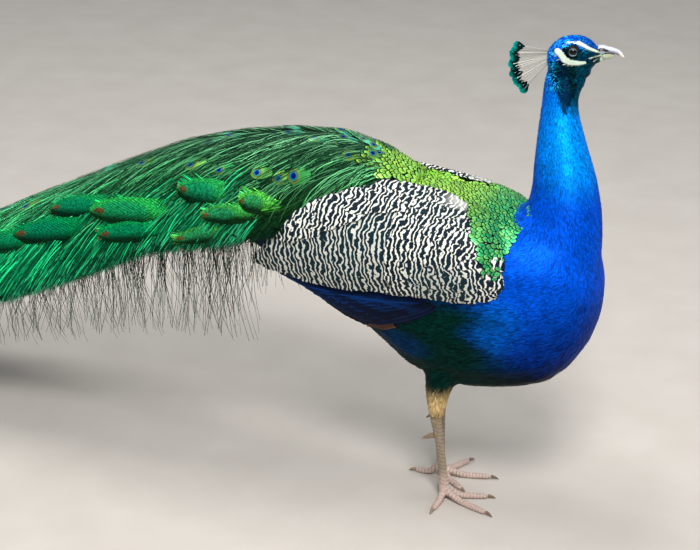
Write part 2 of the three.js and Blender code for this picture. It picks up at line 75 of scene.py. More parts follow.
BAR_WIDTH = 8.0                         # of one dark and one pale bar on the wing
SECONDARIES = 11
BARBS = 20000                           # loose barbs on each side of the train
STRANDS_A_LOCK = 6
LOBE_BARBS = 260                        # on each folded train feather
THREADS = 560                           # hanging from each edge of the train
RECTRICES = 14
CREST_SHAFTS = 17

# The setting, in the frame's metres: each lamp's place, watts and size.
CAMERA = {"place": (1.5292, -2.5710, 1.5014), "aim": (0.4019, -0.0390, 0.3534), "lens": 100}
LAMPS = {
    "key": ((1.6, -2.0, 3.0), 120, 1.0),
    "top": ((-0.8, 0.2, 3.4), 62, 1.8),
    "fill": ((3.0, 1.2, 1.6), 16, 1.5),
}
FLOOR = 40                              # half its side


def srgb(red, green, blue):
    """A colour given as on a screen, 0 to 255, as the linear values a shader takes."""
    share = np.array([red, green, blue]) / 255
    return np.where(share <= 0.04045, share / 12.92, ((share + 0.055) / 1.055) ** 2.4)


ROYAL = srgb(0, 78, 200)
# Azure for the painted sheen on the neck and the sides of the breast.
AZURE_SHEEN = srgb(0, 150, 240)
NAVY = srgb(0, 30, 104)
BELLY = srgb(1, 38, 34)
BELLY_BLUE = srgb(2, 44, 86)
TEAL = srgb(0, 50, 52)
EAR = srgb(1, 18, 22)
BARE_WHITE = srgb(222, 238, 216)
EMERALD = srgb(18, 150, 64)
BUFF = srgb(186, 160, 112)
DARK_THREAD = srgb(14, 34, 22)


# ---------------------------------------------------------------- small tools

def rise(low, high, value):
    """0 at low, climbing smoothly to 1 at high, and level beyond both."""
    share = np.clip((value - low) / (high - low), 0, 1)
    return share * share * (3 - 2 * share)


def fall(low, high, value):
    """1 at low, falling smoothly to 0 at high, and level beyond both."""
    return 1 - rise(low, high, value)


def blend(first, second, share):
    share = np.asarray(share)[..., None]
    return first * (1 - share) + second * share


def layered(colour, *layers):
    """A colour with others laid over it in turn, each given with its share."""
    for over, share in layers:
        colour = blend(colour, over, share)
    return colour


def unit(vectors):
    return vectors / np.maximum(np.linalg.norm(vectors, axis=-1, keepdims=True), 1e-9)


def near(points, centre, size):
    """1 at a centre, falling to 0 at an ellipsoid of the given half sizes."""
    far = np.linalg.norm((points - np.array(centre)) / np.array(size), axis=-1)
    return fall(0.35, 1, far)


def path_distance(points, path):
    """Distance of 2-D points from a polyline."""
    best = np.full(len(points), 1e9)
    for start, end in zip(np.array(path[:-1], float), np.array(path[1:], float)):
        run = end - start
        share = np.clip((points - start) @ run / (run @ run), 0, 1)
        best = np.minimum(best, np.linalg.norm(points - start - share[:, None] * run, axis=1))
    return best


def to_head(points):
    """Layout points as x forward, y left and z up from the head's centre."""
    angle = np.radians(HEAD["yaw"])
    x, y = points[:, 0] - HEAD["x"], points[:, 1]
    return np.stack([
        x * np.cos(angle) + y * np.sin(angle),
        y * np.cos(angle) - x * np.sin(angle),
        points[:, 2] - HEAD["z"],
    ], 1)


def from_head(points):
    """Points given from the head's centre, as layout points: the reverse of to_head()."""
    angle = np.radians(HEAD["yaw"])
    x, y = points[..., 0], points[..., 1]
    return np.stack([
        x * np.cos(angle) - y * np.sin(angle) + HEAD["x"],
        y * np.cos(angle) + x * np.sin(angle),
        points[..., 2] + HEAD["z"],
    ], -1)


def new_mesh(name, points, faces):
    """A smooth mesh in the frame's metres from layout points and triangles."""
    mesh = bpy.data.meshes.new(name)
    placed = (points * MM + np.array([SHIFT, 0, 0])).astype(np.float32)
    placed[:, 2] = np.maximum(placed[:, 2], 0)
    mesh.vertices.add(len(placed))
    mesh.vertices.foreach_set("co", placed.ravel())
    mesh.loops.add(faces.size)
    mesh.loops.foreach_set("vertex_index", faces.astype(np.int32).ravel())
    mesh.polygons.add(len(faces))
    mesh.polygons.foreach_set("loop_start", np.arange(0, faces.size, 3, dtype=np.int32))
    mesh.update(calc_edges=True)
    mesh.polygons.foreach_set("use_smooth", np.ones(len(faces), bool))
    return mesh


def mesh_object(name, points, faces, material, attributes=None, uv=None, tint=None, nodes=()):
    """A visible piece with data on its points, and what the frame is told of it."""
    mesh = new_mesh(name, points, faces)
    for key, values in (attributes or {}).items():
        layer = mesh.attributes.new(key, "FLOAT", "POINT")
        layer.data.foreach_set("value", values.astype(np.float32))
    if tint is not None:
        layer = mesh.attributes.new("tint", "FLOAT_COLOR", "POINT")
        colours = np.concatenate([tint, np.ones((len(tint), 1))], 1)
        layer.data.foreach_set("color", colours.astype(np.float32).ravel())
    if uv is not None:
        layer = mesh.uv_layers.new(name="OFBake", do_init=False)
        layer.uv.foreach_set("vector", uv[faces.ravel()].astype(np.float32).ravel())
    mesh.materials.append(material)
    thing = bpy.data.objects.new(name, mesh)
    bpy.context.scene.collection.objects.link(thing)
    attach(thing, "root")
    if nodes:
        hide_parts(*nodes)
    return thing


def read_mesh(mesh):
    """A Blender mesh's points and its triangles."""
    mesh.calc_loop_triangles()
    points = np.empty(len(mesh.vertices) * 3, np.float32)
    mesh.vertices.foreach_get("co", points)
    faces = np.empty(len(mesh.loop_triangles) * 3, np.int32)
    mesh.loop_triangles.foreach_get("vertices", faces)
    return points.reshape(-1, 3).astype(float), faces.reshape(-1, 3)


def node_points(name):
    """A CAD node's points in layout millimetres, and its triangles."""
    points, faces = read_mesh(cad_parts[name].data)
    return (points - np.array([SHIFT, 0, 0])) / MM, faces


def joined(parts):
    """Several pairs of points and triangles as one, and where the points of each start."""
    starts = np.cumsum([0] + [len(points) for points, _ in parts[:-1]])
    points = np.concatenate([points for points, _ in parts])
    faces = np.concatenate([faces + start for (_, faces), start in zip(parts, starts)])
    return points, faces, starts


def grid_faces(rows, columns, closed=False):
    """Two triangles for each cell of a grid of points, which are numbered row by row."""
    faces = []
    for row in range(rows - 1):
        for column in range(columns if closed else columns - 1):
            a, b = row * columns + column, row * columns + (column + 1) % columns
            faces += [(a, b, b + columns), (a, b + columns, a + columns)]
    return np.array(faces)


def pick(chosen, *lists):
    """The chosen rows of each of several lists."""
    return [rows[chosen] for rows in lists]


def point_normals(points, faces):
    corners = points[faces]
    face_normals = np.cross(corners[:, 1] - corners[:, 0], corners[:, 2] - corners[:, 0])
    normals = np.zeros_like(points)
    for corner in range(3):
        np.add.at(normals, faces[:, corner], face_normals)
    return unit(normals)


def remeshed(nodes, voxel, rounds):
    """The points and triangles of one even, softened surface round the given CAD nodes."""
    points, faces, _ = joined([node_points(node) for node in nodes])
    mesh = bpy.data.meshes.new("remesh")
    mesh.from_pydata((points * MM).tolist(), [], faces.tolist())
    thing = bpy.data.objects.new("remesh", mesh)
    bpy.context.scene.collection.objects.link(thing)
    remesh = thing.modifiers.new("remesh", "REMESH")
    remesh.mode = "VOXEL"
    remesh.voxel_size = voxel * MM
    soften = thing.modifiers.new("soften", "SMOOTH")
    soften.iterations = rounds
    soften.factor = 0.5
    evaluated = thing.evaluated_get(bpy.context.evaluated_depsgraph_get())
    points, faces = read_mesh(evaluated.to_mesh())
    evaluated.to_mesh_clear()
    bpy.data.objects.remove(thing)
    bpy.data.meshes.remove(mesh)
    return points / MM, faces


def relaxed(points, faces, weight, rounds):
    """Points drawn towards their neighbours' middle, as far as each one's weight allows."""
    ends = np.concatenate([faces[:, [0, 1]], faces[:, [1, 2]], faces[:, [2, 0]]])
    degree = np.bincount(ends[:, 0], minlength=len(points))[:, None]
    share = 0.6 * weight[:, None]
    for _ in range(rounds):
        total = np.stack([np.bincount(ends[:, 0], points[ends[:, 1], axis], len(points))
                          for axis in range(3)], 1)
        points = points + share * (total / np.maximum(degree, 1) - points)
    return points


def shrunk(points, faces, depth):
    """Points moved inward along their normals."""
    return points - point_normals(points, faces) * np.asarray(depth).reshape(-1, 1)


class Surface:
    """A triangle surface that feathers are scattered over and laid along."""

    def __init__(self, points, faces):
        self.points, self.faces = points, faces
        self.tree = BVHTree.FromPolygons(points.tolist(), faces.tolist())
        self.normals = point_normals(points, faces)
        corners = points[faces]
        cross = np.cross(corners[:, 1] - corners[:, 0], corners[:, 2] - corners[:, 0])
        self.areas = np.linalg.norm(cross, axis=1) / 2

    def scatter(self, density):
        """Random spots and their normals; density is the spots wanted per mm2 at each point."""
        wanted = density(self.points)[self.faces].mean(1) * self.areas
        count = RANDOM.poisson(wanted)
        face = np.repeat(np.arange(len(self.faces)), count)
        first, second = RANDOM.random((2, len(face)))
        fold = first + second > 1
        first, second = np.where(fold, 1 - first, first), np.where(fold, 1 - second, second)
        shares = np.stack([1 - first - second, first, second], 1)[:, :, None]
        corners = self.faces[face]
        spots = (self.points[corners] * shares).sum(1)
        return spots, unit((self.normals[corners] * shares).sum(1))

    def lay(self, batch, slack=14.0):
        """Moves a batch's points to their heights over the surface. Points that run off its
        edge, farther from it than the slack, stay in their feather's own plane."""
        points, heights = batch["points"], batch["heights"]
        laid = points + batch["normals"] * heights[:, None]
        for index, point in enumerate(points):
            spot, normal, _, distance = self.tree.find_nearest(point)
            if distance < slack:
                laid[index] = np.array(spot) + np.array(normal) * heights[index]
        batch["points"] = laid
        return batch


def spaced(spots, distance):
    """The indices of spots that keep at least the given distance from each other."""
    cells = {}
    kept = []
    reach = (-1, 0, 1)
    for index, spot in enumerate(spots):
        gap = distance[index]
        cell = tuple((spot // 40).astype(int))
        around = [other for i in reach for j in reach for k in reach
                  for other in cells.get((cell[0] + i, cell[1] + j, cell[2] + k), ())]
        if all(((spots[other] - spot) ** 2).sum() > gap * gap for other in around):
            cells.setdefault(cell, []).append(index)
            kept.append(index)
    return np.array(kept)


def unwrap(points, axis):
    """A place in the unit square for each point: its angle about an axis line, and how far along
    that line it lies."""
    axis = np.array(axis, float)
    runs = np.linalg.norm(np.diff(axis, axis=0), axis=1)
    starts = np.concatenate([[0], np.cumsum(runs)])
    best = np.full(len(points), 1e9)
    place = np.zeros((len(points), 2))
    flat = points[:, [0, 2]]
    for index, run in enumerate(runs):
        along = (axis[index + 1] - axis[index]) / run
        share = np.clip((flat - axis[index]) @ along, 0, run)
        off = flat - axis[index] - share[:, None] * along
        side = off @ np.array([-along[1], along[0]])
        far = np.linalg.norm(off, axis=1)
        closer = far < best
        best = np.where(closer, far, best)
        angle = np.arctan2(points[:, 1], side) / (2 * np.pi) + 0.5
        found = np.stack([angle, (starts[index] + share) / starts[-1]], 1)
        place[closer] = found[closer]
    return 0.01 + 0.98 * place


BODY_AXIS = [(-360, 420), (-100, 400), (110, 370), (182, 470), (176, 600), (180, 690), (240, 740)]
TRAIN_AXIS = [(-60, 500), (-350, 440), (-700, 330), (-1345, 10)]


# ---------------------------------------------------------------- feather shapes

def vanes(spots, normals, lie, length, width, shape):
    """Rounded feather blades. Shape gives rows of (share along, share of the half width) and
    how far the tip stands off and how much the blade is arched across. Each point knows its
    share along and across its blade and its feather's number."""
    rows = np.array(shape["rows"], float)
    columns = np.linspace(-1, 1, shape.get("columns", 3))
    along = np.repeat(rows[:, 0], len(columns))
    across = np.tile(columns, len(rows))
    half = np.repeat(rows[:, 1], len(columns))
    lie = unit(lie - normals * (lie * normals).sum(1, keepdims=True))
    side = np.cross(normals, lie)
    reach = length[:, None] * along
    spread = width[:, None] / 2 * half * across
    flat = spots[:, None] + lie[:, None] * reach[..., None] + side[:, None] * spread[..., None]
    crown = shape["arch"] * width[:, None] * (half * (1 - across ** 2))
    count = len(spots)
    number = np.repeat(np.arange(count), len(along))
    return {
        "points": flat.reshape(-1, 3),
        "heights": (shape["lift"] * along ** 1.3 + crown).reshape(-1),
        "normals": normals[number],
        "faces": copied(grid_faces(len(rows), len(columns)), len(along), count),
        "along": np.tile(along, count),
        "across": np.tile(across, count),
        "number": number,
    }


TUFT = {"rows": [(0, 0.55), (0.45, 1.0), (1.0, 0.12)], "columns": 2, "lift": 1.0, "arch": 0.0}
SCALE = {"rows": [(0, 0.6), (0.35, 0.95), (0.65, 1.0), (0.86, 0.76), (1.0, 0.3)],
         "lift": 2.2, "arch": 0.07}
COVERT = {"rows": [(0, 0.5), (0.25, 0.85), (0.5, 1.0), (0.72, 0.98), (0.88, 0.74), (1.0, 0.28)],
          "lift": 3.0, "arch": 0.05}
PETAL = {"rows": [(0, 0.55), (0.12, 0.76), (0.28, 0.92), (0.45, 1.0), (0.62, 1.0), (0.76, 0.9),
                  (0.87, 0.72), (0.95, 0.45), (1.0, 0.15)],
         "columns": 5, "lift": 1.5, "arch": 0.1}
FLAG = {"rows": [(0, 0.1), (0.25, 0.5), (0.55, 0.95), (0.8, 0.9), (1.0, 0.3)],
        "lift": 0, "arch": 0.1}
QUILL = {"rows": [(0, 0.5), (0.2, 0.85), (0.45, 1.0), (0.7, 0.95), (0.88, 0.7), (1.0, 0.2)],
         "lift": 3.0, "arch": 0.05}


def raised(batch, heights):
    """A batch lifted along its own normals."""
    batch["points"] = batch["points"] + batch["normals"] * heights[:, None]
    return batch


def patches(batch, place):
    """Bake places: each tuft a small patch where its root lies on the unwrapped surface."""
    small = np.stack([batch["across"] * 0.0015, (batch["along"] - 0.5) * 0.003], 1)
    return place[batch["number"]] + small


def atlas(batch):
    """Bake places: each patterned feather an island of its own in an even grid."""
    side = int(np.ceil(np.sqrt(batch["number"].max() + 1)))
    cell = np.stack([batch["number"] % side, batch["number"] // side], 1)
    inside = np.stack([batch["across"] * 0.44 + 0.5, batch["along"] * 0.9 + 0.05], 1)
    return (cell + inside) / side


def ribbons(paths, widths, sides):
    """Thin tapering strips along paths of shape (count, stations, 3)."""
    count, stations, _ = paths.shape
    half = widths[..., None] * sides / 2
    return {
        "points": np.stack([paths - half, paths + half], 2).reshape(-1, 3),
        "faces": copied(grid_faces(stations, 2), stations * 2, count),
        "along": np.tile(np.repeat(np.linspace(0, 1, stations), 2), count),
        "across": np.tile([-1.0, 1.0], stations * count),
        "number": np.repeat(np.arange(count), stations * 2),
    }


def copied(faces, size, count):
    """The triangles of many equal grids, which have the given number of points each."""
    return (faces[None] + (np.arange(count) * size)[:, None, None]).reshape(-1, 3)


def coat(name, batch, material, tint=None, roots=None, axis=BODY_AXIS, nodes=(), more=None):
    """One mesh of many feathers, with the numbers their patterns are drawn from. Its tints are
    one a feather or one a point. Feathers with roots get bake places as patches there, and
    patterned ones, which have none, as islands."""
    number = batch["number"]
    seeds = RANDOM.random(number.max() + 1)
    attributes = {"along": batch["along"], "across": batch["across"], "seed": seeds[number]}
    if tint is not None and len(tint) < len(number):
        tint = tint[number]
    uv = atlas(batch) if roots is None else patches(batch, unwrap(roots, axis))
    return mesh_object(name, batch["points"], batch["faces"], material,
                       {**attributes, **(more or {})}, uv, tint, nodes)


# ---------------------------------------------------------------- materials

class Value:
    """A number that varies over a surface, with arithmetic that adds the nodes it needs."""

    def __init__(self, shader, socket):
        self.shader = shader
        self.socket = socket

    def __add__(self, other):
        return self.shader.math("ADD", self, other)

    def __sub__(self, other):
        return self.shader.math("SUBTRACT", self, other)

    def __rsub__(self, other):
        return self.shader.math("SUBTRACT", other, self)

    def __mul__(self, other):
        return self.shader.math("MULTIPLY", self, other)

    def __truediv__(self, other):
        return self.shader.math("DIVIDE", self, other)

    def __abs__(self):
        return self.shader.math("ABSOLUTE", self)


class Shader:
    """A material with one Principled shader, and short calls for the nodes that feed it."""

    def __init__(self, name, **values):
        self.material = bpy.data.materials.new(name)
        self.material.use_nodes = True
        self.tree = self.material.node_tree
        self.inputs = self.tree.nodes["Principled BSDF"].inputs
        for key, value in values.items():
            self.inputs[key.replace("_", " ")].default_value = value

    def feed(self, socket, value):
        if isinstance(value, Value):
            value = value.socket
        if isinstance(value, bpy.types.NodeSocket):
            self.tree.links.new(value, socket)
        elif hasattr(socket.default_value, "__len__"):
            socket.default_value = (*value, 1)
        else:
            socket.default_value = value

    def node(self, kind, inputs, **settings):
        """The outputs of a new node, with its inputs given by name or number."""
        node = self.tree.nodes.new("ShaderNode" + kind)
        for key, value in settings.items():
            setattr(node, key, value)
        for key, value in inputs.items():
            self.feed(node.inputs[key], value)
        return node.outputs

    def read(self, name):
        outputs = self.node("Attribute", {}, attribute_name=name)
        return outputs["Color"] if name == "tint" else Value(self, outputs["Fac"])

    def math(self, operation, first, second=0.0):
        return Value(self, self.node("Math", {0: first, 1: second}, operation=operation)[0])

    def step(self, value, low, high):
        inputs = {"Value": value, "From Min": low, "From Max": high}
        return Value(self, self.node("MapRange", inputs, interpolation_type="SMOOTHSTEP")["Result"])

    def mix(self, share, first, second, kind="MIX"):
        inputs = {"Factor": share, 6: first, 7: second}
        return self.node("Mix", inputs, data_type="RGBA", blend_type=kind)[2]

    def scaled(self, colour, factor):
        """A colour made lighter or darker by a number that varies over the surface."""
        grey = self.node("CombineXYZ", {0: factor, 1: factor, 2: factor})[0]
        return self.mix(1.0, colour, grey, "MULTIPLY")

    def noise(self, scale, detail=2.0):
        place = self.node("NewGeometry", {})["Position"]
        inputs = {"Scale": scale, "Detail": detail, "Vector": place}
        return Value(self, self.node("TexNoise", inputs)["Fac"])

    def barbs(self, count):
        """Fine lines that run out from a feather's shaft, 0 to 1."""
        slant = self.read("along") - abs(self.read("across")) * 0.25
        return self.math("SINE", slant * count) * 0.5 + 0.5

    def oval(self, middle, length, width):
        """How far out from an oval's middle, up the shaft, a point lies: squared, 1 at its edge."""
        reach = (self.read("along") - middle) / length
        wide = self.read("across") / width
        return wide * wide + reach * reach

    def bump(self, height, strength, distance):
        inputs = {"Strength": strength, "Distance": distance, "Height": height}
        self.feed(self.inputs["Normal"], self.node("Bump", inputs)[0])

    def painted(self, colour, factor=None):
        """The finished material, in a colour that may be scaled by a varying number."""
        if factor is not None:
            colour = self.scaled(colour, factor)
        self.feed(self.inputs["Base Color"], colour)
        return self.material


def make_plumage():
    """Glossy small feathers: their tint, lit at the tip and shaded at the root and edges."""
    shader = Shader("plumage", Roughness=0.5, Metallic=0.35, Specular_IOR_Level=0.03)
    shade = shader.step(shader.read("along"), 0.0, 0.9) * 0.45 + 0.68
    edge = abs(shader.read("across")) * -0.12 + 1.05
    seed = shader.read("seed") * 0.9 + 0.55
    patchy = shader.noise(38, 3) * 0.7 + 0.65
    return shader.painted(shader.read("tint"), shade * edge * seed * patchy)


def make_skin():
    shader = Shader("skin", Roughness=0.55, Metallic=0.1, Specular_IOR_Level=0.15)
    shader.bump(shader.noise(900, 3), 0.4, 0.0006)
    return shader.painted(shader.read("tint"), shader.noise(420, 3) * 0.5 + 0.6)


def make_scale():
    """Mantle feathers: their tint, with a darker heart and a black border."""
    shader = Shader("mantle_scale", Roughness=0.36, Metallic=0.4, Specular_IOR_Level=0.1)
    far = shader.math("SQRT", shader.oval(0.52, 0.46, 1.0))
    tint = shader.read("tint")
    lit = shader.mix(shader.step(far, 0.15, 0.6), shader.scaled(tint, 0.62), tint)
    grain = (shader.barbs(60) * 0.3 + 0.78) * (shader.read("seed") * 0.5 + 0.75)
    rim = shader.step(far, 0.8, 0.94)
    return shader.painted(shader.mix(rim, shader.scaled(lit, grain), srgb(4, 30, 18)))


def make_barred():
    """Wing coverts: cream with wavy blue-black bars that carry on from feather to feather."""
    shader = Shader("barred_vane", Roughness=0.6, Specular_IOR_Level=0.1)
    wobble = (shader.noise(42) * 17.0 - 8.5) + (shader.noise(120) * 8.0 - 4.0)
    wave = shader.math("SINE", shader.read("phase") + wobble)
    dark = shader.step(wave, -0.55, -0.25) * (1.0 - shader.read("fade"))
    cream = shader.mix(shader.read("buff"), srgb(232, 232, 220), srgb(204, 172, 124))
    pale = shader.scaled(cream, shader.barbs(160) * 0.16 + 0.86)
    ink = shader.mix(shader.noise(60), srgb(8, 16, 32), srgb(20, 40, 50))
    barred = shader.mix(dark, pale, ink)
    veiled = shader.mix(shader.read("veil") * 0.5, barred, srgb(10, 60, 66))
    # Painted shade: near-black along the cleft between the wing's rear lobes.
    return shader.painted(shader.mix(shader.read("gap"), veiled, srgb(6, 12, 20)))


def make_flight():
    """Flight feathers and tail: tinted vanes with a dark shaft, fine barbs and a painted highlight along
    their edges.
    """
    shader = Shader("flight_vane", Roughness=0.45, Metallic=0.3, Specular_IOR_Level=0.1)
    across = abs(shader.read("across"))
    shaft = shader.step(across, 0.0, 0.12) * 0.45 + 0.55
    # Painted highlight: each vane lighter towards its edges.
    edge = shader.step(across, 0.6, 1.0) * 1.6 + 0.8
    return shader.painted(shader.read("tint"), (shader.barbs(260) * 0.3 + 0.75) * shaft * edge)


def make_barb():
    """Loose barbs and threads: their tint, lighter and darker from strand to strand."""
    shader = Shader("loose_barb", Roughness=0.5, Metallic=0.15, Specular_IOR_Level=0.03)
    seed = shader.read("seed") * 1.1 + 0.4
    return shader.painted(shader.read("tint"), seed * (shader.read("along") * 0.5 + 0.75))


def make_ocellus():
    """A round train feather's end: a pale ring, a bronze one, turquoise and a violet-blue heart."""
    shader = Shader("ocellus", Roughness=0.38, Metallic=0.4, Specular_IOR_Level=0.05)
    far = shader.math("SQRT", shader.oval(0.7, 0.24, 0.8))
    colour = shader.read("tint")
    for low, high, ring in (
        (0.98, 1.25, srgb(120, 150, 66)),
        (0.74, 1.0, srgb(104, 100, 44)),
        (0.56, 0.8, srgb(0, 140, 150)),
        (0.36, 0.56, srgb(8, 18, 120)),
    ):
        colour = shader.mix(1.0 - shader.step(far, low, high), colour, ring)
    return shader.painted(colour, (shader.barbs(120) * 0.42 + 0.72) * (shader.read("seed") * 0.4 + 0.8))


def make_lobe():
    """A folded train feather's end: its tint, a turquoise glow that is partly the folded eye's own
    turquoise and partly painted sheen, a bronze patch at the tip, painted shade along its lower
    side, and dark at its root."""
    shader = Shader("train_lobe", Roughness=0.4, Metallic=0.4, Specular_IOR_Level=0.05)
    # The turquoise glow: partly the folded eye's own turquoise, partly painted sheen.
    glow = 1.0 - shader.step(shader.oval(0.7, 0.34, 0.9), 0.3, 1.0)
    bronze = 1.0 - shader.step(shader.oval(0.91, 0.07, 0.42), 0.3, 1.0)
    # Painted shade: each lobe darkened along its lower side.
    low = shader.step(shader.read("across"), -0.2, 0.7)
    root = 1.0 - shader.step(shader.read("along"), 0.0, 0.3)
    colour = shader.mix(glow * 0.6, shader.read("tint"), srgb(0, 150, 112))
    colour = shader.mix(bronze, colour, srgb(122, 98, 56))
    colour = shader.mix(low * 0.95, colour, srgb(0, 30, 18))
    colour = shader.mix(root * 0.5, colour, srgb(1, 60, 34))
    sparkle = shader.step(shader.noise(420), 0.4, 0.62) * 0.9 + 0.5
    return shader.painted(colour, (shader.barbs(150) * 0.6 + 0.4) * sparkle)


def make_scaly():
    """Bare legs and feet, with darker grooves between the scales."""
    shader = Shader("leg_skin", Roughness=0.6)
    shader.bump(shader.noise(1100, 3), 0.35, 0.0005)
    fine = shader.noise(420, 4) * 1.1 + 0.4
    return shader.painted(shader.read("tint"), fine * (shader.read("groove") * -0.5 + 1.0))


def make_horn(name, roughness):
    shader = Shader(name, Roughness=roughness)
    shader.bump(shader.noise(500), 0.25, 0.0004)
    return shader.painted(shader.read("tint"), shader.noise(260, 3) * 0.5 + 0.72)


def make_eye():
    shader = Shader("eye_ball", Roughness=0.05, Specular_IOR_Level=0.25)
    return shader.painted(shader.read("tint"), shader.noise(900) * 0.6 + 0.7)


def make_flag():
    shader = Shader("crest_flag", Roughness=0.4, Metallic=0.3, Specular_IOR_Level=0.05)
    return shader.painted(shader.read("tint"), shader.barbs(130) * 1.1 + 0.3)


def make_floor():
    shader = Shader("floor", Roughness=0.9)
    return shader.painted(shader.mix(shader.noise(9, 3), srgb(188, 180, 170), srgb(204, 197, 188)))


# ---------------------------------------------------------------- markings

def head_markings(points, colour):
    """The blue crown, teal lores and throat, dark ear patch, dark ring round the eye and the
    bare white bands."""
    local = to_head(points)
    x, height = local[:, 0], local[:, 2]
    side = rise(4, 9, np.abs(local[:, 1]))
    wander = np.sin(points @ [0.31, 0.43, 0.37]) + np.sin(points @ [-0.41, 0.23, 0.56])
    crown = rise(12, 20, height + wander) * rise(-44, -30, x)
    face = rise(-16, -6, x + 0.4 * wander) * (1 - crown) * rise(-16, -8, height)
    throat = rise(-14, -2, x) * fall(-10, -4, height + wander)
    ear_line = path_distance(local[:, [0, 2]], [(-17, -4), (-14, -24), (-13, -40), (-15, -76)])
    ear_width = np.interp(height, [-80, -66, -52, -39, -20], [0, 5, 10, 15, 17])
    ear = fall(-3, 3, ear_line - ear_width + wander)
    ring = np.hypot((x - EYE["forward"]) / 1.12, height - EYE["up"])
    return layered(
        colour,
        (ROYAL * 1.2, crown * 0.9),
        (TEAL, face * 0.9),
        (TEAL * 1.3, throat * rise(-88, -60, height) * 0.9),
        (EAR, ear * (height < -2) * 0.92),
        (TEAL * 0.8, rise(22, 27, x) * fall(10, 13, height)),
        (EAR * 0.7, fall(9.5, 11.5, ring) * side),
        (BARE_WHITE, bare_share(points)),
    )


def bare_share(points):
    """1 on the bare white skin over and under the eye, 0 off it."""
    local = to_head(points)
    flat = local[:, [0, 2]]
    x = local[:, 0]
    side = rise(3, 8, np.abs(local[:, 1]))
    over = path_distance(flat, [(1, 24), (8, 21), (16, 16.5), (29, 10.5), (36, 8.5)])
    upper = fall(0, 0.9, over - np.interp(x, [0, 14, 34], [2.0, 1.6, 0.5]))
    line = path_distance(flat, [(-15, 21.5), (-9, 24.3), (-3, 24.6)])
    under = path_distance(flat, [(-27, 11), (-22, 7), (-17, 0), (-9, -3.5), (2, -4.5), (12, -4)])
    lower = fall(0, 1.1, under - np.interp(x, [-26, -14, 0, 12], [3.9, 4.0, 3.0, 1.4]))
    gape = path_distance(flat, [(18, 2.2), (28, 3), (38, 3.6)])
    corner = fall(0, 0.9, gape - np.interp(x, [18, 32], [0.3, 1.5]))
    jaw = path_distance(flat, [(24, -4.4), (29, -1.6), (38, -1.4)])
    corner = np.maximum(corner, fall(0.3, 1.1, jaw))
    lines = np.maximum(fall(0.4, 1.2, line), corner)
    bill_root = rise(32, 35, x) * fall(7, 9, local[:, 2])
    return np.maximum(np.maximum(np.maximum(upper, lower), lines) * side, bill_root)


def body_colour(points):
    """The plumage colour at any layout point of the head, neck, trunk and thighs, with painted sheen in
    azure on the neck and breast and painted shade under the breast.
    """
    x, y, height = points.T
    folded = np.stack([x, np.abs(y), height], 1)
    below = fall(345, 440, height)
    colour = layered(
        np.broadcast_to(ROYAL, points.shape),
        # Painted sheen: azure over the front of the neck and, fainter, on each side of the breast.
        (AZURE_SHEEN, near(points, (195, 0, 620), (75, 90, 120)) * 0.8),
        (AZURE_SHEEN, near(folded, (136, 100, 335), (60, 60, 62)) * 0.2),
        (NAVY, rise(90, 190, x) * fall(300, 400, height) * 0.75),
        (NAVY, rise(225, 250, x) * fall(330, 420, height) * 0.6),
        # Painted shade: near-black under the front of the breast.
        (srgb(0, 4, 14), rise(40, 90, x) * fall(235, 312, height)),
        (BELLY, fall(84, 176, x + 0.25 * (height - 300) + 12 * np.sin(height / 9 + y / 11))
         * below),
        (BELLY_BLUE, near(folded, (-22, 92, 275), (70, 60, 36)) * 0.85),
        (srgb(20, 26, 22), fall(-190, -90, x) * below),
        (EMERALD * 0.7, fall(104, 150, x + 0.35 * np.abs(y)) * rise(395, 450, height)),
        (BUFF, fall(196, 222, height) * fall(75, 90, np.abs(x - 5))),
    )
    return blend(colour, head_markings(points, colour), rise(638, 648, height))


# ---------------------------------------------------------------- skin and small feathers

def lie_of_coat(spots, normals):
    """The way small feathers point: down the neck, back along the trunk and the head, and down
    the thighs."""
    x, _, height = spots.T
    flow = np.broadcast_to([-1.0, 0, -0.12], spots.shape)
    for way, share in (
        ([0.12, 0, -1.0], rise(400, 520, height + 0.55 * (x - 150))),
        ([-0.95, -0.31, -0.35], rise(686, 712, height)),
        ([-0.25, 0, -1.0], fall(205, 250, height) * (np.abs(x - 5) < 90)),
    ):
        flow = blend(flow, np.array(way), share)
    flow = flow - normals * (flow * normals).sum(1, keepdims=True)
    return unit(flow + RANDOM.normal(0, 0.06, flow.shape))


def head_relief(points):
    """Raised bare skin, and lids that stand round each eye, in millimetres outward."""
    local = to_head(points)
    ring = np.hypot(local[:, 0] - EYE["forward"], local[:, 2] - EYE["up"])
    side = rise(6, 11, np.abs(local[:, 1]))
    hollow = fall(5.5, 9.5, ring) * side
    brow = fall(0, 3.5, np.abs(ring - 10.5)) * side
    gape = rise(20, 27, local[:, 0]) * fall(2, 5, local[:, 2])
    return bare_share(points) * 0.8 + brow * 0.6 - hollow * 2.6 - gape * 4.5


def lid(side):
    """The rim of skin between the eyeball and the feathers, open over the middle of the eye."""
    turn = np.linspace(0, 2 * np.pi, 40, endpoint=False)
    profile = [(4.7, 5.9), (4.9, 6.5), (5.6, 6.9), (6.7, 6.0), (8.0, 4.2), (9.6, 1.4)]
    rings = []
    for radius, out in profile:
        opening = 1 + 0.12 * fall(4.7, 8, radius)
        x = EYE["forward"] + radius * opening * np.cos(turn)
        z = EYE["up"] + radius / opening * np.sin(turn)
        y = side * (EYE["out"] + out - 0.02 * radius * np.abs(np.sin(turn)) * radius * 0.2)
        rings.append(np.stack([x, y, z], 1))
    return from_head(np.concatenate(rings)), facing(side, grid_faces(len(profile), len(turn), True))


def facing(side, faces):
    """Triangles of a right-hand piece, turned over for its left-hand twin."""
    return faces if side < 0 else faces[:, ::-1]


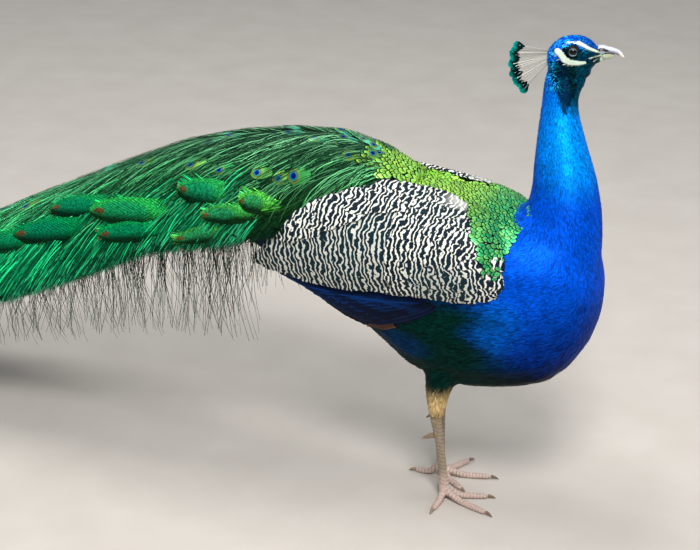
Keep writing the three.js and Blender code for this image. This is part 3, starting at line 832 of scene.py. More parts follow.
def scute_relief(points):
    """How far each leg point lies in a groove between scales, 0 to 1."""
    nearest = np.full(len(points), 1e9)
    run = np.zeros(len(points))
    for foot in FEET.values():
        far = np.hypot(points[:, 0] - foot[0], points[:, 1] - foot[1])
        run = np.where(far < nearest, far, run)
        nearest = np.minimum(nearest, far)
    on_toe = fall(18, 26, points[:, 2])
    along_toe = np.abs(np.sin(run * np.pi / 5.2))
    along_leg = np.abs(np.sin((points[:, 2] + 0.25 * points[:, 0]) * np.pi / 6.4))
    ridge = along_toe * on_toe + along_leg * (1 - on_toe)
    return fall(0.05, 0.5, ridge)


def body_shell():
    points, faces = remeshed(BODY_NODES, VOXEL["body"], 8)
    crease = near(points, (178, 0, 462), (120, 130, 110))
    points = relaxed(points, faces, crease, 60)
    top = rise(HEAD_BASE + 12, HEAD_BASE + 26, points[:, 2])
    return shrunk(points, faces, COAT_DEPTH + 5 * top), faces


def head_shell():
    """The head and the top of the neck, sunk into the body's shell at its lower end."""
    points, faces = remeshed(["head", "neck_upper"], VOXEL["head"], 10)
    faces = faces[(points[faces][:, :, 2] > HEAD_BASE - 10).all(1)]
    height = points[:, 2]
    base = 0.7 * fall(HEAD_BASE + 4, HEAD_BASE + 26, height)
    hidden = 2.5 * fall(HEAD_BASE - 8, HEAD_BASE + 6, height)
    relief = head_relief(points) - HEAD_DEPTH - base - hidden
    return points + point_normals(points, faces) * relief[:, None], faces


def make_bare_parts():
    """One skin for all the flesh, in the coat's markings, and the surfaces the coat lies on."""
    body_points, body_faces = body_shell()
    head = head_shell()
    leg_points, leg_faces = remeshed(LEG_NODES, VOXEL["legs"], 3)
    groove = scute_relief(leg_points)
    leg_points = shrunk(leg_points, leg_faces, 0.15 + 0.55 * groove)
    below_skull = (body_points[body_faces][:, :, 2] < HEAD_BASE + 34).all(1)
    lids = [lid(side) for side in SIDES.values()]
    points, faces, starts = joined(
        [(body_points, body_faces[below_skull]), head, *lids, (leg_points, leg_faces)])
    lid_part, leg_part = slice(starts[2], starts[4]), slice(starts[4], None)
    tint = body_colour(points)
    rim = np.linalg.norm(to_head(points[lid_part])[:, [0, 2]] - [EYE["forward"], EYE["up"]], axis=1)
    tint[lid_part] = blend(srgb(120, 150, 156), EAR, rise(5.0, 6.2, rim))
    foot = fall(20, 60, leg_points[:, 2])
    tint[leg_part] = blend(srgb(150, 134, 112), srgb(200, 174, 162), foot)
    grooves = np.zeros(len(points))
    grooves[leg_part] = groove
    used, faces = np.unique(faces, return_inverse=True)
    faces = faces.reshape(-1, 3)
    skin = mesh_object("skin", points[used], faces, make_skin(), {"groove": grooves[used]},
                       tint=tint[used], nodes=BODY_NODES + LEG_NODES)
    skin.data.materials.append(make_scaly())
    on_leg = (used[faces] >= starts[4]).all(1)
    skin.data.polygons.foreach_set("material_index", on_leg.astype(np.int32))
    return Surface(*head), Surface(body_points, body_faces)


def coat_fineness(points):
    """0 on the belly and back, about a half on the breast, rising to 1 at the top of the neck."""
    breast = rise(395, 450, points[:, 2] + 0.9 * (points[:, 0] - 110))
    return 0.55 * breast + 0.45 * breast * rise(400, 660, points[:, 2])


def cover_body(body, material):
    """Small feathers over the neck, breast, belly and thighs."""
    for name, low, high, density in (
        ("belly_coat", 0.0, 0.25, 0.1), ("breast_coat", 0.25, 0.75, 0.3), ("neck_coat", 0.75, 1.1, 0.42),
    ):
        def wanted(points):
            front = coat_fineness(points)
            clear = (points[:, 2] < HEAD_BASE + 16) & (points[:, 2] > HOCK + 14)
            return density * (front >= low) * (front < high) * clear
        spots, normals = body.scatter(wanted)
        fine = coat_fineness(spots)
        length = (24 - 15 * fine) * RANDOM.uniform(0.8, 1.25, len(spots))
        width = (6.4 - 4.2 * fine) * RANDOM.uniform(0.8, 1.2, len(spots))
        batch = vanes(spots, normals, lie_of_coat(spots, normals), length, width, TUFT)
        batch["heights"] = 0.3 + batch["along"] * COAT_LIFT
        coat(name, body.lay(batch), material, body_colour(spots), spots)


def cover_head(head, material):
    """Tiny feathers on the head, clear of the bill, the eyes and the bare white skin."""
    spots, normals = head.scatter(
        lambda p: 0.8 * (p[:, 2] > HEAD_BASE + 4) * (bare_share(p) < 0.3))
    local = to_head(spots)
    ring = np.hypot(local[:, 0] - EYE["forward"], local[:, 2] - EYE["up"])
    bill = (local[:, 2] < 17.5) & (local[:, 0] > np.where(local[:, 2] > -9, 24, 19))
    keep = ((ring > 8.5) | (np.abs(local[:, 1]) < 6)) & ~bill
    spots, normals, local = pick(keep, spots, normals, local)
    face = rise(-20, 15, local[:, 0])
    chin = 1 - 0.45 * rise(14, 22, local[:, 0])
    length = (6.4 - 3.2 * face) * chin * RANDOM.uniform(0.8, 1.2, len(spots))
    width = (2.6 - 0.9 * face) * RANDOM.uniform(0.8, 1.2, len(spots))
    lie = lie_of_coat(spots, normals)
    clear = bare_share(spots + lie * length[:, None] * 0.8) < 0.3
    spots, normals, local, lie, length, width = pick(clear, spots, normals, local, lie, length, width)
    batch = vanes(spots, normals, lie, length, width, TUFT)
    base = fall(HEAD_BASE + 6, HEAD_BASE + 34, spots[:, 2])
    batch["heights"] = 0.1 + batch["along"] * (0.9 + 1.6 * base)[batch["number"]]
    crown = rise(6, 20, local[:, 2])
    blue = np.maximum(crown, fall(-30, -18, local[:, 0] + 0.1 * local[:, 2]))
    glint = (RANDOM.random(len(spots)) < 0.3) * (0.12 + 0.6 * blue)
    shade = 0.2 + 1.0 * RANDOM.random(len(spots))
    spark = blend(srgb(0, 150, 140), srgb(40, 190, 255), blue)
    tint = blend(body_colour(spots) * shade[:, None], spark, glint)
    coat("head_coat", head.lay(batch), material, tint, spots)


# ---------------------------------------------------------------- mantle and wings

def mantle_share(points):
    """1 where the scaly green mantle lies: down the back and over each shoulder."""
    x, y, height = points.T
    front = np.interp(height, [418, 440, 470, 485, 500, 512, 530], [121, 125, 137, 152, 150, 122, 98])
    rear = np.interp(height, [418, 440, 466, 489, 505], [116, 106, 92, 73, 60])
    shoulder = (x > rear) & (height > 418)
    near_band = np.interp(-x, [-120, -60, 0, 90, 200], [60, 44, 37, 42, 34])
    far_band = np.interp(-x, [-120, -73, -20, 40, 90, 200], [60, 38, 35, 42, 50, 34])
    band = np.where(y < 0, near_band, far_band)
    back = (np.abs(y) < band) & (x > -112) & (height > 440)
    return ((x < front) & (shoulder | back)).astype(float)


def cover_mantle():
    """Green scale feathers, small over the shoulders and larger down the back."""
    nodes = ["trunk", "neck_lower", "wing_right", "wing_left", "train"]
    surface = Surface(*remeshed(nodes, VOXEL["mantle"], 6))
    spots, normals = surface.scatter(lambda p: 0.16 * mantle_share(p))
    upper = normals[:, 2] * 0.6 + np.abs(normals[:, 1]) > 0.1
    spots, normals = pick(upper, spots, normals)
    kept = spaced(spots, np.interp(-spots[:, 0], [-170, -60, 100], [4.0, 5.0, 5.8]))
    spots, normals = pick(kept, spots, normals)
    spots, normals = pick(np.argsort(spots[:, 0]), spots, normals)
    lie = np.stack([np.full(len(spots), -1.0), 0.15 * np.sign(spots[:, 1]) * (spots[:, 0] > 60),
                    np.full(len(spots), -0.3)], 1)
    size = np.interp(-spots[:, 0], [-170, -60, 100], [0.55, 0.72, 0.86])
    size = size * RANDOM.uniform(0.9, 1.1, len(spots))
    batch = vanes(spots, normals, lie, 20 * size, 12.5 * size, SCALE)
    batch["heights"] += 0.8
    gold = 0.04 + rise(110, 40, spots[:, 0]) * 0.58 + 0.28 * RANDOM.random(len(spots))
    tint = blend(srgb(0, 186, 122), srgb(190, 244, 84), gold)
    coat("mantle_scales", surface.lay(batch), make_scale(), tint)


# Painted shade along the cleft between the folded wing's upper and lower rear lobes: its line, as x and
# height.
WING_CLEFT = [(-262, 428), (-232, 421), (-205, 420), (-176, 427)]


def bar_phase(points, numbers, across):
    """Where each point stands in the wing's bars, in radians, jittered from vane to vane."""
    lean = 0.35 * np.clip(points[:, 2] - 455, 0, 60) - 0.1 * (points[:, 2] - 400)
    jitter = RANDOM.normal(0, 1.3, numbers.max() + 1)[numbers]
    return (points[:, 0] - lean) * (2 * np.pi / BAR_WIDTH) + jitter + 1.1 * across ** 2


def wing_patterns(batch, side):
    """What the barred material reads at each point of the coverts."""
    at = batch["points"]
    veil = np.maximum(near(at, (40, side * 115, 400), (75, 90, 46)),
                      0.4 * near(at, (30, side * 70, 505), (90, 80, 30)))
    return {
        "phase": bar_phase(at, batch["number"], batch["across"]),
        "buff": 0.9 * rise(-130, -180, at[:, 0]) * fall(405, 422, at[:, 2]),
        "veil": veil * 0.6,
        "fade": 0.6 * near(at, (46, side * 50, 508), (36, 24, 18)),
        # Painted shade along the cleft between the rear lobes.
        "gap": fall(1.5, 5, path_distance(at[:, [0, 2]], WING_CLEFT)),
    }


def lay_wing_bed(name, points, faces, material):
    """The plain barred surface under a wing's coverts."""
    under = shrunk(points, faces, BED_DEPTH["wing"])
    blank = np.zeros(len(under))
    mesh_object(f"wing_{name}_bed", under, faces, material, {
        "phase": bar_phase(under, blank.astype(int), blank), "veil": blank + 0.4,
        **{key: blank for key in ("gap", "buff", "fade", "along", "across")},
    })


def cover_wing(name, side, barred, flight):
    """A folded wing: barred coverts over their bed, and the flight feathers below them."""
    points, faces = remeshed([f"wing_{name}"], VOXEL["wing"], 6)
    surface = Surface(points, faces)
    outward = np.array([0, side * 0.85, 0.5])
    spots, normals = surface.scatter(lambda p: 0.03 * (p[:, 0] > -262) * (p[:, 0] < 132))
    outer = (normals @ outward > 0.15) & (mantle_share(spots) < 0.5)
    outer &= ~under_train(spots) & ~under_train(spots - [38, 0, 4])
    spots, normals = pick(outer, spots, normals)
    kept = spaced(spots, np.interp(-spots[:, 0], [-140, 0, 250], [8.5, 11, 13.5]))
    spots, normals = pick(kept, spots, normals)
    count = len(spots)
    length = np.interp(-spots[:, 0], [-140, 0, 160, 262], [30, 42, 52, 34])
    width = np.interp(-spots[:, 0], [-140, 0, 200], [19, 24, 28])
    tilt = np.where(spots[:, 2] < 400, -0.02, -0.2)
    lie = np.stack([np.full(count, -1.0), np.zeros(count), tilt], 1)
    batch = vanes(spots, normals, lie, length, width * RANDOM.uniform(0.9, 1.1, count), COVERT)
    batch["heights"] += 0.4
    surface.lay(batch)
    coat(f"wing_{name}_coverts", batch, barred, nodes=[f"wing_{name}"],
         more=wing_patterns(batch, side))
    lay_wing_bed(name, points, faces, barred)
    cover_flights(name, side, flight)


def cover_flights(name, side, material):
    """The folded secondaries and one chestnut primary, in a stack below the coverts."""
    points, faces = remeshed([f"flight_{name}"], VOXEL["flight"], 5)
    surface = Surface(points, faces)
    spots, lies, lengths = [(-44, side * 97.0, 309)], [(-46.0, side * -6.0, -22)], [52.0]
    tints = [srgb(84, 52, 34)]
    for index in range(SECONDARIES):
        share = index / (SECONDARIES - 1)
        root = np.array([34 - 58 * share, side * 101.0, 366 - 6 * share])
        tip = np.array([-88 - 154 * share, side * (89 - 3 * share), 303 + 55 * share])
        spots.append(root)
        lies.append(tip - root)
        lengths.append(np.linalg.norm(tip - root))
        tints.append(srgb(2, 14 + 2 * index, 40 + 4 * index))
    spots, lies, lengths, tints = (np.array(rows) for rows in (spots, lies, lengths, tints))
    normals = np.tile([0, side * 1.0, 0], (len(spots), 1))
    batch = vanes(spots, normals, lies, lengths, np.full(len(spots), 27.0), QUILL)
    batch["heights"] = 0.4 + batch["number"] * 0.22 + batch["heights"] * 0.4
    surface.lay(batch, 24)
    coat(f"flight_{name}_vanes", batch, material, tints, nodes=[f"flight_{name}"])
    under = shrunk(points, faces, BED_DEPTH["flight"])
    middle = np.full(len(under), 0.5)
    mesh_object(f"flight_{name}_bed", under, faces, material, {"along": middle, "across": middle},
                tint=np.tile(srgb(7, 18, 44), (len(under), 1)))


# ---------------------------------------------------------------- train

# The arch of the folded train: x, height of its top line, height of its edges, half width.
ARCH = np.array([
    (-45, 524, 512, 26), (-110, 553, 483, 74), (-180, 567, 448, 106), (-260, 561, 424, 124),
    (-350, 544, 405, 133), (-450, 515, 380, 136), (-560, 466, 323, 136), (-680, 408, 268, 134),
    (-800, 348, 218, 130), (-930, 283, 167, 124), (-1060, 216, 116, 115), (-1180, 150, 66, 102),
    (-1280, 84, 18, 84), (-1330, 42, 4, 62), (-1345, 14, 2, 34),
], float)


def arch_size(x):
    """The heights of the train's top line and of its edges at x, and its half width."""
    return [np.interp(-x, -ARCH[:, 0], ARCH[:, column]) for column in (1, 2, 3)]


def arch(x, share, sunk=9.0):
    """Points a little inside the train's outer face; share runs from its right edge over to its
    left, and a share outside 0 to 1 hangs below that edge."""
    ridge, edge, half = arch_size(x)
    bow = np.sin(np.pi * np.clip(share, 0.001, 0.999)) ** 0.9
    out = -np.maximum(half - sunk, 4) * np.cos(np.pi * np.clip(share, 0, 1))
    below = np.minimum(share, 0) + np.minimum(1 - share, 0)
    top = np.maximum(ridge - sunk, edge)
    return np.stack([x, out, edge + (top - edge) * bow + below * arch_girth(x)], -1)


def arch_normals(x, share):
    across = arch(x, np.clip(share + 0.01, 0, 1)) - arch(x, np.clip(share - 0.01, 0, 1))
    along = arch(x - 4, share) - arch(x + 4, share)
    return unit(np.cross(across, along))


def arch_girth(x):
    ridge, edge, half = arch_size(x)
    return np.pi * np.sqrt(((ridge - edge) ** 2 + half ** 2) / 2)


def under_train(points):
    """Which points lie inside the arch of the train."""
    ridge, edge, half = arch_size(points[:, 0])
    level = np.sqrt(np.clip(1 - (points[:, 1] / half) ** 2, 0, 1)) ** 0.9
    return (points[:, 0] < ARCH[0, 0]) & (points[:, 2] < edge + (ridge - edge) * level - 9)


def train_colour(x, share, vary):
    """Barb colours: olive at the start, a mint crest line, emerald sides and dark edges."""
    ridge = fall(0.04, 0.13, np.abs(share - 0.5))
    edge = fall(0.02, 0.16, np.minimum(share, 1 - share))
    return layered(
        blend(srgb(0, 24, 14), srgb(0, 96, 46), vary),
        (blend(srgb(6, 26, 14), srgb(48, 100, 44), vary), rise(-420, -230, x) * 0.7),
        (srgb(2, 34, 26), edge * 0.6),
        (blend(srgb(8, 70, 52), srgb(70, 180, 140), vary), ridge * rise(-900, -600, x) * 0.75),
    )


def strands(starts, lengths, angles, ends, heights, widths, stations):
    """Barbs on the train's face. Starts are (x, share); angles are how far each leans from
    straight back towards its edge at its start and ends the same at its tip, in degrees."""
    u = np.linspace(0, 1, stations)
    lean = np.radians(angles[:, None] + (ends - angles)[:, None] * u)
    stride = lengths[:, None] / (stations - 1)
    origin = np.zeros((len(starts), 1))
    run = np.concatenate([origin, np.cumsum(np.cos(lean) * stride, 1)[:, :-1]], 1)
    sweep = np.concatenate([origin, np.cumsum(np.sin(lean) * stride, 1)[:, :-1]], 1)
    x = np.maximum(starts[:, :1] - run, TRAIN_TIP + 3)
    towards = np.where(starts[:, 1:] < 0.5, -1, 1)
    share = starts[:, 1:] + towards * sweep / arch_girth(x)
    normals = arch_normals(x, share)
    lift = heights[:, None] * np.sin(np.pi * (0.25 + 0.6 * u))
    paths = arch(x, share) + normals * lift[..., None]
    paths[..., 2] = np.maximum(paths[..., 2], 1.0)
    sides = unit(np.cross(normals, unit(np.gradient(paths, axis=1))))
    return ribbons(paths, (1 - 0.85 * u ** 2) * widths[:, None], sides)


def barb_coat(name, starts, batch, material, tint):
    roots = arch(starts[:, 0], starts[:, 1])
    coat(name, batch, material, tint, roots, TRAIN_AXIS)


def cover_train(material):
    """Loose barbs over the whole train: a close coat, then long fine strands in locks."""
    for name, low, high in (("right", 0.0, 0.5), ("left", 0.5, 1.0)):
        x = -60 - 1265 * RANDOM.random(BARBS) ** 0.95
        share = np.clip(RANDOM.uniform(low, high, BARBS), 0.012, 0.988)
        starts = np.stack([x, share], 1)
        steep = np.interp(-x, [80, 350, 900], [46, 36, 26]) + RANDOM.normal(0, 8, BARBS)
        batch = strands(starts, RANDOM.uniform(40, 80, BARBS), steep, steep * 0.5,
                        RANDOM.uniform(0, 7, BARBS), RANDOM.uniform(1.0, 1.8, BARBS), 5)
        barb_coat(f"train_barbs_{name}", starts, batch, material,
                  train_colour(x, share, RANDOM.random(BARBS) ** 1.6))
        cover_in_locks(name, material, low, high)


def lock_colour(starts, tint):
    """Tints of long strands, more olive over the back, paler along the ridge and a brighter
    blue-green far down."""
    x, share = starts.T
    olive = rise(-420, -230, x)[:, None] * np.array([0.4, -0.1, 0.0])
    pale = fall(0.05, 0.16, np.abs(share - 0.5))[:, None] * np.array([1.0, 0.2, 0.5])
    deep = rise(-400, -750, x)[:, None] * np.array([0.2, 0.9, 0.9])
    return tint * (1 + olive + pale + deep)


def cover_in_locks(name, material, low, high):
    """Long strands that start along the ridge or low on the side and sweep down and back."""
    inward, outer = (1, 0.0) if low == 0 else (-1, 1.0)
    each = STRANDS_A_LOCK
    for kind, locks, from_edge, to_edge, steeper, bend, dark, bright in (
        ("upper", 1100, 0.2, 0.5, 0, 0.4, srgb(0, 46, 24), srgb(104, 236, 146)),
        ("lower", 1000, 0.03, 0.28, 10, 0.75, srgb(0, 52, 32), srgb(44, 240, 150)),
        ("edge", 900, -0.04, 0.06, 16, 0.75, srgb(1, 48, 30), srgb(70, 224, 156)),
    ):
        lock_x = -80 - 1200 * RANDOM.random(locks)
        if kind != "upper":             # these are drawn again, farther back
            lock_x = -270 - 1020 * RANDOM.random(locks)
        lock_share = outer + inward * (to_edge - (to_edge - from_edge) * RANDOM.random(locks) ** 1.3)
        spread = RANDOM.normal(0, 1, (locks * each, 2)) * np.array([6, 0.01])
        starts = np.repeat(np.stack([lock_x, lock_share], 1), each, 0) + spread
        starts[:, 1] = np.clip(starts[:, 1], low - 0.03, high + 0.03)
        count, x = len(starts), starts[:, 0]
        lean = np.repeat(RANDOM.normal(0, 6, locks), each)
        steep = np.interp(-x, [80, 350, 900], [58, 46, 32]) + lean + steeper
        length = np.interp(-x, [80, 300, 1300], [80, 140, 110]) * RANDOM.uniform(0.6, 1.2, count)
        batch = strands(starts, length * (0.75 if kind == "lower" else 1), steep * bend,
                        steep * (1.7 - bend), RANDOM.uniform(6, 12.5, count),
                        RANDOM.uniform(0.7, 1.35, count), 7)
        lit = RANDOM.random(count) < np.repeat(RANDOM.uniform(0.05, 0.6, locks), each)
        shade = np.where(lit, RANDOM.uniform(0.25, 1, count), RANDOM.uniform(0, 0.1, count))
        barb_coat(f"train_{kind}_strands_{name}", starts, batch, material,
                  lock_colour(starts, blend(dark, bright, shade)))


# The lobes that show low on each side: x and share of the arch at the root and at the tip, then
# the width and how golden it is. The round eyes that show higher up: x, share, length, width.
LOBES = [
    (-362, 0.1, -548, 0.222, 46, 0.1), (-511, 0.12, -706, 0.24, 44, 0),
    (-612, 0.15, -790, 0.255, 40, 0),
    (-280, 0.138, -398, 0.212, 44, 0.1), (-225, 0.098, -292, 0.142, 34, 0.5),
    (-252, 0.082, -350, 0.1, 30, 0.3), (-275, 0.045, -396, 0.022, 27, 0.4),
    (-369, 0.06, -533, 0.118, 36, 0), (-484, 0.185, -645, 0.3, 40, 0),
    (-700, 0.12, -850, 0.2, 40, 0), (-760, 0.26, -900, 0.33, 38, 0.2),
]
ROUND_EYES = [
    (-330, 0.48, 40, 22), (-232, 0.485, 38, 20), (-146, 0.485, 34, 20), (-182, 0.43, 34, 18),
    (-104, 0.49, 28, 18), (-92, 0.44, 26, 18), (-362, 0.45, 40, 22), (-96, 0.402, 30, 22),
    (-124, 0.352, 32, 24), (-214, 0.222, 34, 22), (-188, 0.228, 38, 30), (-250, 0.25, 34, 22),
    (-314, 0.276, 36, 24), (-368, 0.32, 38, 24), (-560, 0.47, 42, 26), (-470, 0.4, 40, 26),
]


def lobe_barb_colour(petal, start, first, sign):
    """Painted light above the shaft and painted shade below it, with a turquoise glow that is partly
    painted sheen, and a bronze tip.
    """
    # The turquoise glow: partly the folded eye's own turquoise, partly painted sheen.
    glow = near(np.stack([start, first * sign], 1), (0.66, -0.1), (0.34, 0.8))
    bronze = near(np.stack([start, first], 1), (0.9, 0), (0.09, 0.5))
    tint = layered(
        # Lit and shaded copies of the petal colour: painted light above the shaft, painted shade below
        # it.
        blend(petal * 2.0, petal * 0.12, rise(-0.3, 0.6, first * sign)),
        (srgb(0, 190, 150), glow * 0.5),
        (srgb(160, 124, 70), bronze * 0.8),
    )
    return tint * blend([0.2], [1.9], RANDOM.random(len(start)) ** 1.6)


def barb_lobes(root, along, normals, halves, sign, petal, barb):
    """Fine barbs from each lobe's shaft out past its edge, with painted light above the shaft and painted
    shade below it.
    """
    number = np.repeat(np.arange(len(root)), LOBE_BARBS)
    count = len(number)
    length, half = np.linalg.norm(along, axis=1)[number], halves[number]
    along, normals = unit(along)[number], normals[number]
    side = np.cross(normals, along)
    start = RANDOM.uniform(0.0, 0.95, count)
    first = RANDOM.uniform(-0.7, 0.7, count)
    u = np.linspace(0, 1, 4)
    stretch = np.minimum(half * RANDOM.uniform(0.8, 1.8, count), length * (1.03 - start))
    reach = (length * start)[:, None] + stretch[:, None] * u
    wide = np.interp(start, [0, 0.3, 0.7, 1], [0.7, 1.0, 0.95, 0.4])[:, None]
    across = (first[:, None] + (np.sign(first) * 0.42 / half)[:, None] * stretch[:, None] * u) * wide
    height = 2.2 + 7.5 * rise(0, 0.55, reach / length[:, None])
    height = height + 0.18 * half[:, None] * (1 - across ** 2) + RANDOM.uniform(-0.4, 0.8, (count, 1))
    paths = root[number][:, None] + along[:, None] * reach[..., None]
    paths = paths + side[:, None] * (across * half[:, None])[..., None]
    paths = paths + normals[:, None] * height[..., None]
    thick = RANDOM.uniform(0.7, 1.3, count)[:, None] * (1 - 0.7 * u ** 2)
    batch = ribbons(paths, thick, unit(np.cross(normals[:, None], np.gradient(paths, axis=1))))
    tint = lobe_barb_colour(petal[number], start, first, sign[number])
    coat("train_lobe_barbs", batch, barb, tint, paths[:, 0], TRAIN_AXIS)


def mirrored(share, left):
    """A share of the arch counted from the left edge for the left-hand ones."""
    return np.where(left, 1 - share, share)


def all_lobes():
    """Every lobe of both sides: its row of LOBES, with its side before how golden it is."""
    lobes = []
    for side in (0, 1):
        lobes += [(*row[:5], side, row[5]) for row in LOBES]
        for row, share in enumerate((0.13, 0.21, 0.3)):
            for x in np.arange(-800 - 50 * row, -1210, -118):
                lobes.append((x, share, x - 122, share + 0.04, 38, side, 0.1))
    return np.array(lobes, float)


def all_round_eyes():
    """Every round eye of both sides: its row of ROUND_EYES, then its side."""
    rounds = []
    for side in (0, 1):
        for x, share, length, width in ROUND_EYES:
            rounds.append((x - side * RANDOM.uniform(0, 30), share - side * 0.02, length, width, side))
        for row, share in enumerate((0.38, 0.46)):
            for x in np.arange(-690 - 60 * row, -1290, -104):
                rounds.append((x, share + RANDOM.normal(0, 0.01), 46, 28, side))
    return np.array(rounds, float)


def cover_train_eyes(barb):
    """The ends of the train feathers: long folded lobes low on each side, round eyes above."""
    rounds = all_round_eyes()
    x, share, tip_x, tip_share, width, left, gold = all_lobes().T
    left = left > 0
    root, tip = arch(x, mirrored(share, left)), arch(tip_x, mirrored(tip_share, left))
    normals = arch_normals(x, mirrored(share, left))
    along = tip - root
    batch = vanes(root, normals, along, np.linalg.norm(along, axis=1), width, PETAL)
    raised(batch, batch["heights"] + 1 + 7.5 * rise(0, 0.55, batch["along"]))
    batch["points"] = batch["points"] + RANDOM.normal(0, 0.7, batch["points"].shape)
    sign = np.where(left, -1, 1)
    batch["across"] = batch["across"] * sign[batch["number"]]
    petal = blend(srgb(0, 160, 88), srgb(24, 206, 96), RANDOM.random(len(x)))
    petal = blend(petal, srgb(120, 224, 40), gold)
    coat("train_lobes", batch, make_lobe(), petal)
    barb_lobes(root, along, normals, width / 2, sign, petal, barb)
    cover_round_eyes(*rounds.T)


def cover_round_eyes(x, share, length, width, left):
    """The round eyes that lie on top of the train, bluer along its ridge."""
    left = left > 0
    ridge = fall(0.05, 0.09, np.abs(share - 0.5))
    share = mirrored(share, left)
    points, normals = arch(x, share), arch_normals(x, share)
    behind = arch(x - 10, share + np.where(left, 0.006, -0.006)) - points
    batch = vanes(points, normals, behind, length, width, PETAL)
    raised(batch, batch["heights"] + 7.8)
    petal = blend(srgb(40, 150, 80), srgb(150, 196, 70), RANDOM.random(len(x)))
    petal = blend(petal, srgb(70, 208, 176), ridge * 0.8)
    coat("train_eyes", batch, make_ocellus(), petal)


def hang_fringe(name, side, material):
    """The dark threads that hang from the train's edge, with clear gaps between them."""
    points, _ = node_points(f"fringe_{name}")
    points = points[np.argsort(points[:, 0])]
    low = points[points[:, 2] < np.interp(points[:, 0], [-1085, -262], [112, 380])]
    x = RANDOM.uniform(-1080, -262, THREADS)
    bottom = np.interp(x, low[:, 0], low[:, 2]) + RANDOM.random(THREADS) ** 1.5 * 60
    top = arch(x, np.full(THREADS, 0.03))[:, 2] + 12
    u = np.linspace(0, 1, 8)
    sway = RANDOM.normal(0, 7, (THREADS, 1)) * np.sin(u * RANDOM.uniform(2, 6, (THREADS, 1)))
    drift = RANDOM.normal(4, 24, THREADS)[:, None] * u ** 1.6
    out = np.interp(x, [-1085, -262], [99, 109])[:, None] * side
    paths = np.stack([
        np.clip(x[:, None] + drift + sway, -1095, -250),
        out + RANDOM.normal(0, 2.5, (THREADS, 1)) * u,
        top[:, None] + (bottom - top)[:, None] * u,
    ], 2)
    sides = np.broadcast_to([1.0, 0, 0], paths.shape)
    widths = RANDOM.uniform(0.8, 1.25, THREADS)[:, None] * (1 - 0.5 * u)
    tint = blend(DARK_THREAD * 0.6, srgb(24, 70, 38), RANDOM.random(THREADS) ** 3)
    roots = np.stack([x, out[:, 0], top], 1)
    coat(f"fringe_{name}_threads", ribbons(paths, widths, sides), material, tint,
         roots, TRAIN_AXIS, [f"fringe_{name}"])


def make_train(barb, flight):
    points, faces = remeshed(["train"], VOXEL["train"], 6)
    bed = shrunk(points, faces, BED_DEPTH["train"])
    half = arch_size(bed[:, 0])[2]
    share = np.arccos(np.clip(-bed[:, 1] / half, -1, 1)) / np.pi
    flat = np.full(len(bed), 0.3)
    # Painted shade: the bed under the barbs takes their colour darkened, for the gaps between strands.
    tint = train_colour(bed[:, 0], share, np.full(len(bed), 0.8)) * 0.55
    mesh_object("train_bed", bed, faces, barb, {"seed": flat, "along": flat}, tint=tint,
                nodes=["train"])
    cover_train(barb)
    cover_train_eyes(barb)
    for name, side in SIDES.items():
        hang_fringe(name, side, barb)
    cover_tail(flight)


def cover_tail(material):
    """The brown tail feathers under the train, in a fan."""
    turn = np.linspace(-1, 1, RECTRICES)
    spots = np.stack([np.full(RECTRICES, -300.0), turn * 10, 424 - 2 * np.abs(turn)], 1)
    tips = np.stack([-690 + 40 * turn ** 2, turn * 62, 282 + 6 * turn ** 2], 1)
    lie = tips - spots
    normals = np.tile(unit(np.array([-0.35, 0, 1.0])), (RECTRICES, 1))
    batch = vanes(spots, normals, lie, np.linalg.norm(lie, axis=1), np.full(RECTRICES, 36.0), QUILL)
    raised(batch, batch["number"] * 0.3)
    coat("tail_vanes", batch, material, np.tile(srgb(92, 76, 56), (RECTRICES, 1)),
         nodes=["tail"])


# ---------------------------------------------------------------- head pieces, feet

def make_crest(barb):
    """A fan of bare shafts behind the crown, and the flags at their tips."""
    count = CREST_SHAFTS
    share = np.linspace(0, 1, count)
    angle = np.radians(163 + 72 * share)
    reach = (53.5 + 12.5 * share ** 1.1) * RANDOM.uniform(0.93, 1.0, count)
    hub = np.array([-38.0, 0, 0])
    sway = RANDOM.normal(0, 0.02, count)
    tip = hub + np.stack([np.cos(angle), sway, np.sin(angle)], 1) * reach[:, None]
    root = np.stack([np.full(count, -36.0), np.zeros(count), 8 - 15 * share], 1)
    reach = np.linalg.norm(tip - root, axis=1)
    along = unit(tip - root)
    u = np.linspace(0, 1, 5)
    paths = root[:, None] + along[:, None] * (reach[:, None] * 0.92 * u)[..., None]
    upright = np.cross(along, [0, 1, 0])[:, None] * np.ones((1, 5, 1))
    sideways = np.broadcast_to([0, 1.0, 0], paths.shape)
    blades = [ribbons(from_head(paths), np.full((count, 5), 0.65), turned(sides))
              for sides in (upright, sideways)]
    shafts = {key: np.concatenate([blade[key] for blade in blades]) for key in blades[0]}
    shafts["points"], shafts["faces"], _ = joined([(blade["points"], blade["faces"]) for blade in blades])
    coat("crest_shafts", shafts, barb, np.tile(srgb(204, 202, 192), (count, 1)),
         from_head(root), nodes=["crest"])
    add_crest_flags(root, along, reach)


def add_crest_flags(root, along, reach):
    """The blue-green flag at each shaft's tip, set a little beside its neighbours."""
    count = len(root)
    size = RANDOM.uniform(0.85, 1.15, count)
    flags = vanes(root + along * (reach - 12.5 * size)[:, None], np.tile([0, 1.0, 0], (count, 1)),
                  along, 15.5 * size, 11.5 * size, FLAG)
    apart = (flags["number"] % 5 - 2)[:, None] * np.array([0, 0.5, 0])
    flags["points"] = from_head(raised(flags, flags["heights"])["points"] + apart)
    rim = rise(0.62, 0.95, flags["along"])
    bright = RANDOM.uniform(0.2, 1, count)[flags["number"]]
    coat("crest_flags", flags, make_flag(),
         blend(srgb(0, 30, 34), srgb(0, 206, 190), rim * bright))


def turned(vectors):
    """Head-frame directions turned into the layout."""
    return from_head(vectors) - from_head(np.zeros(3))


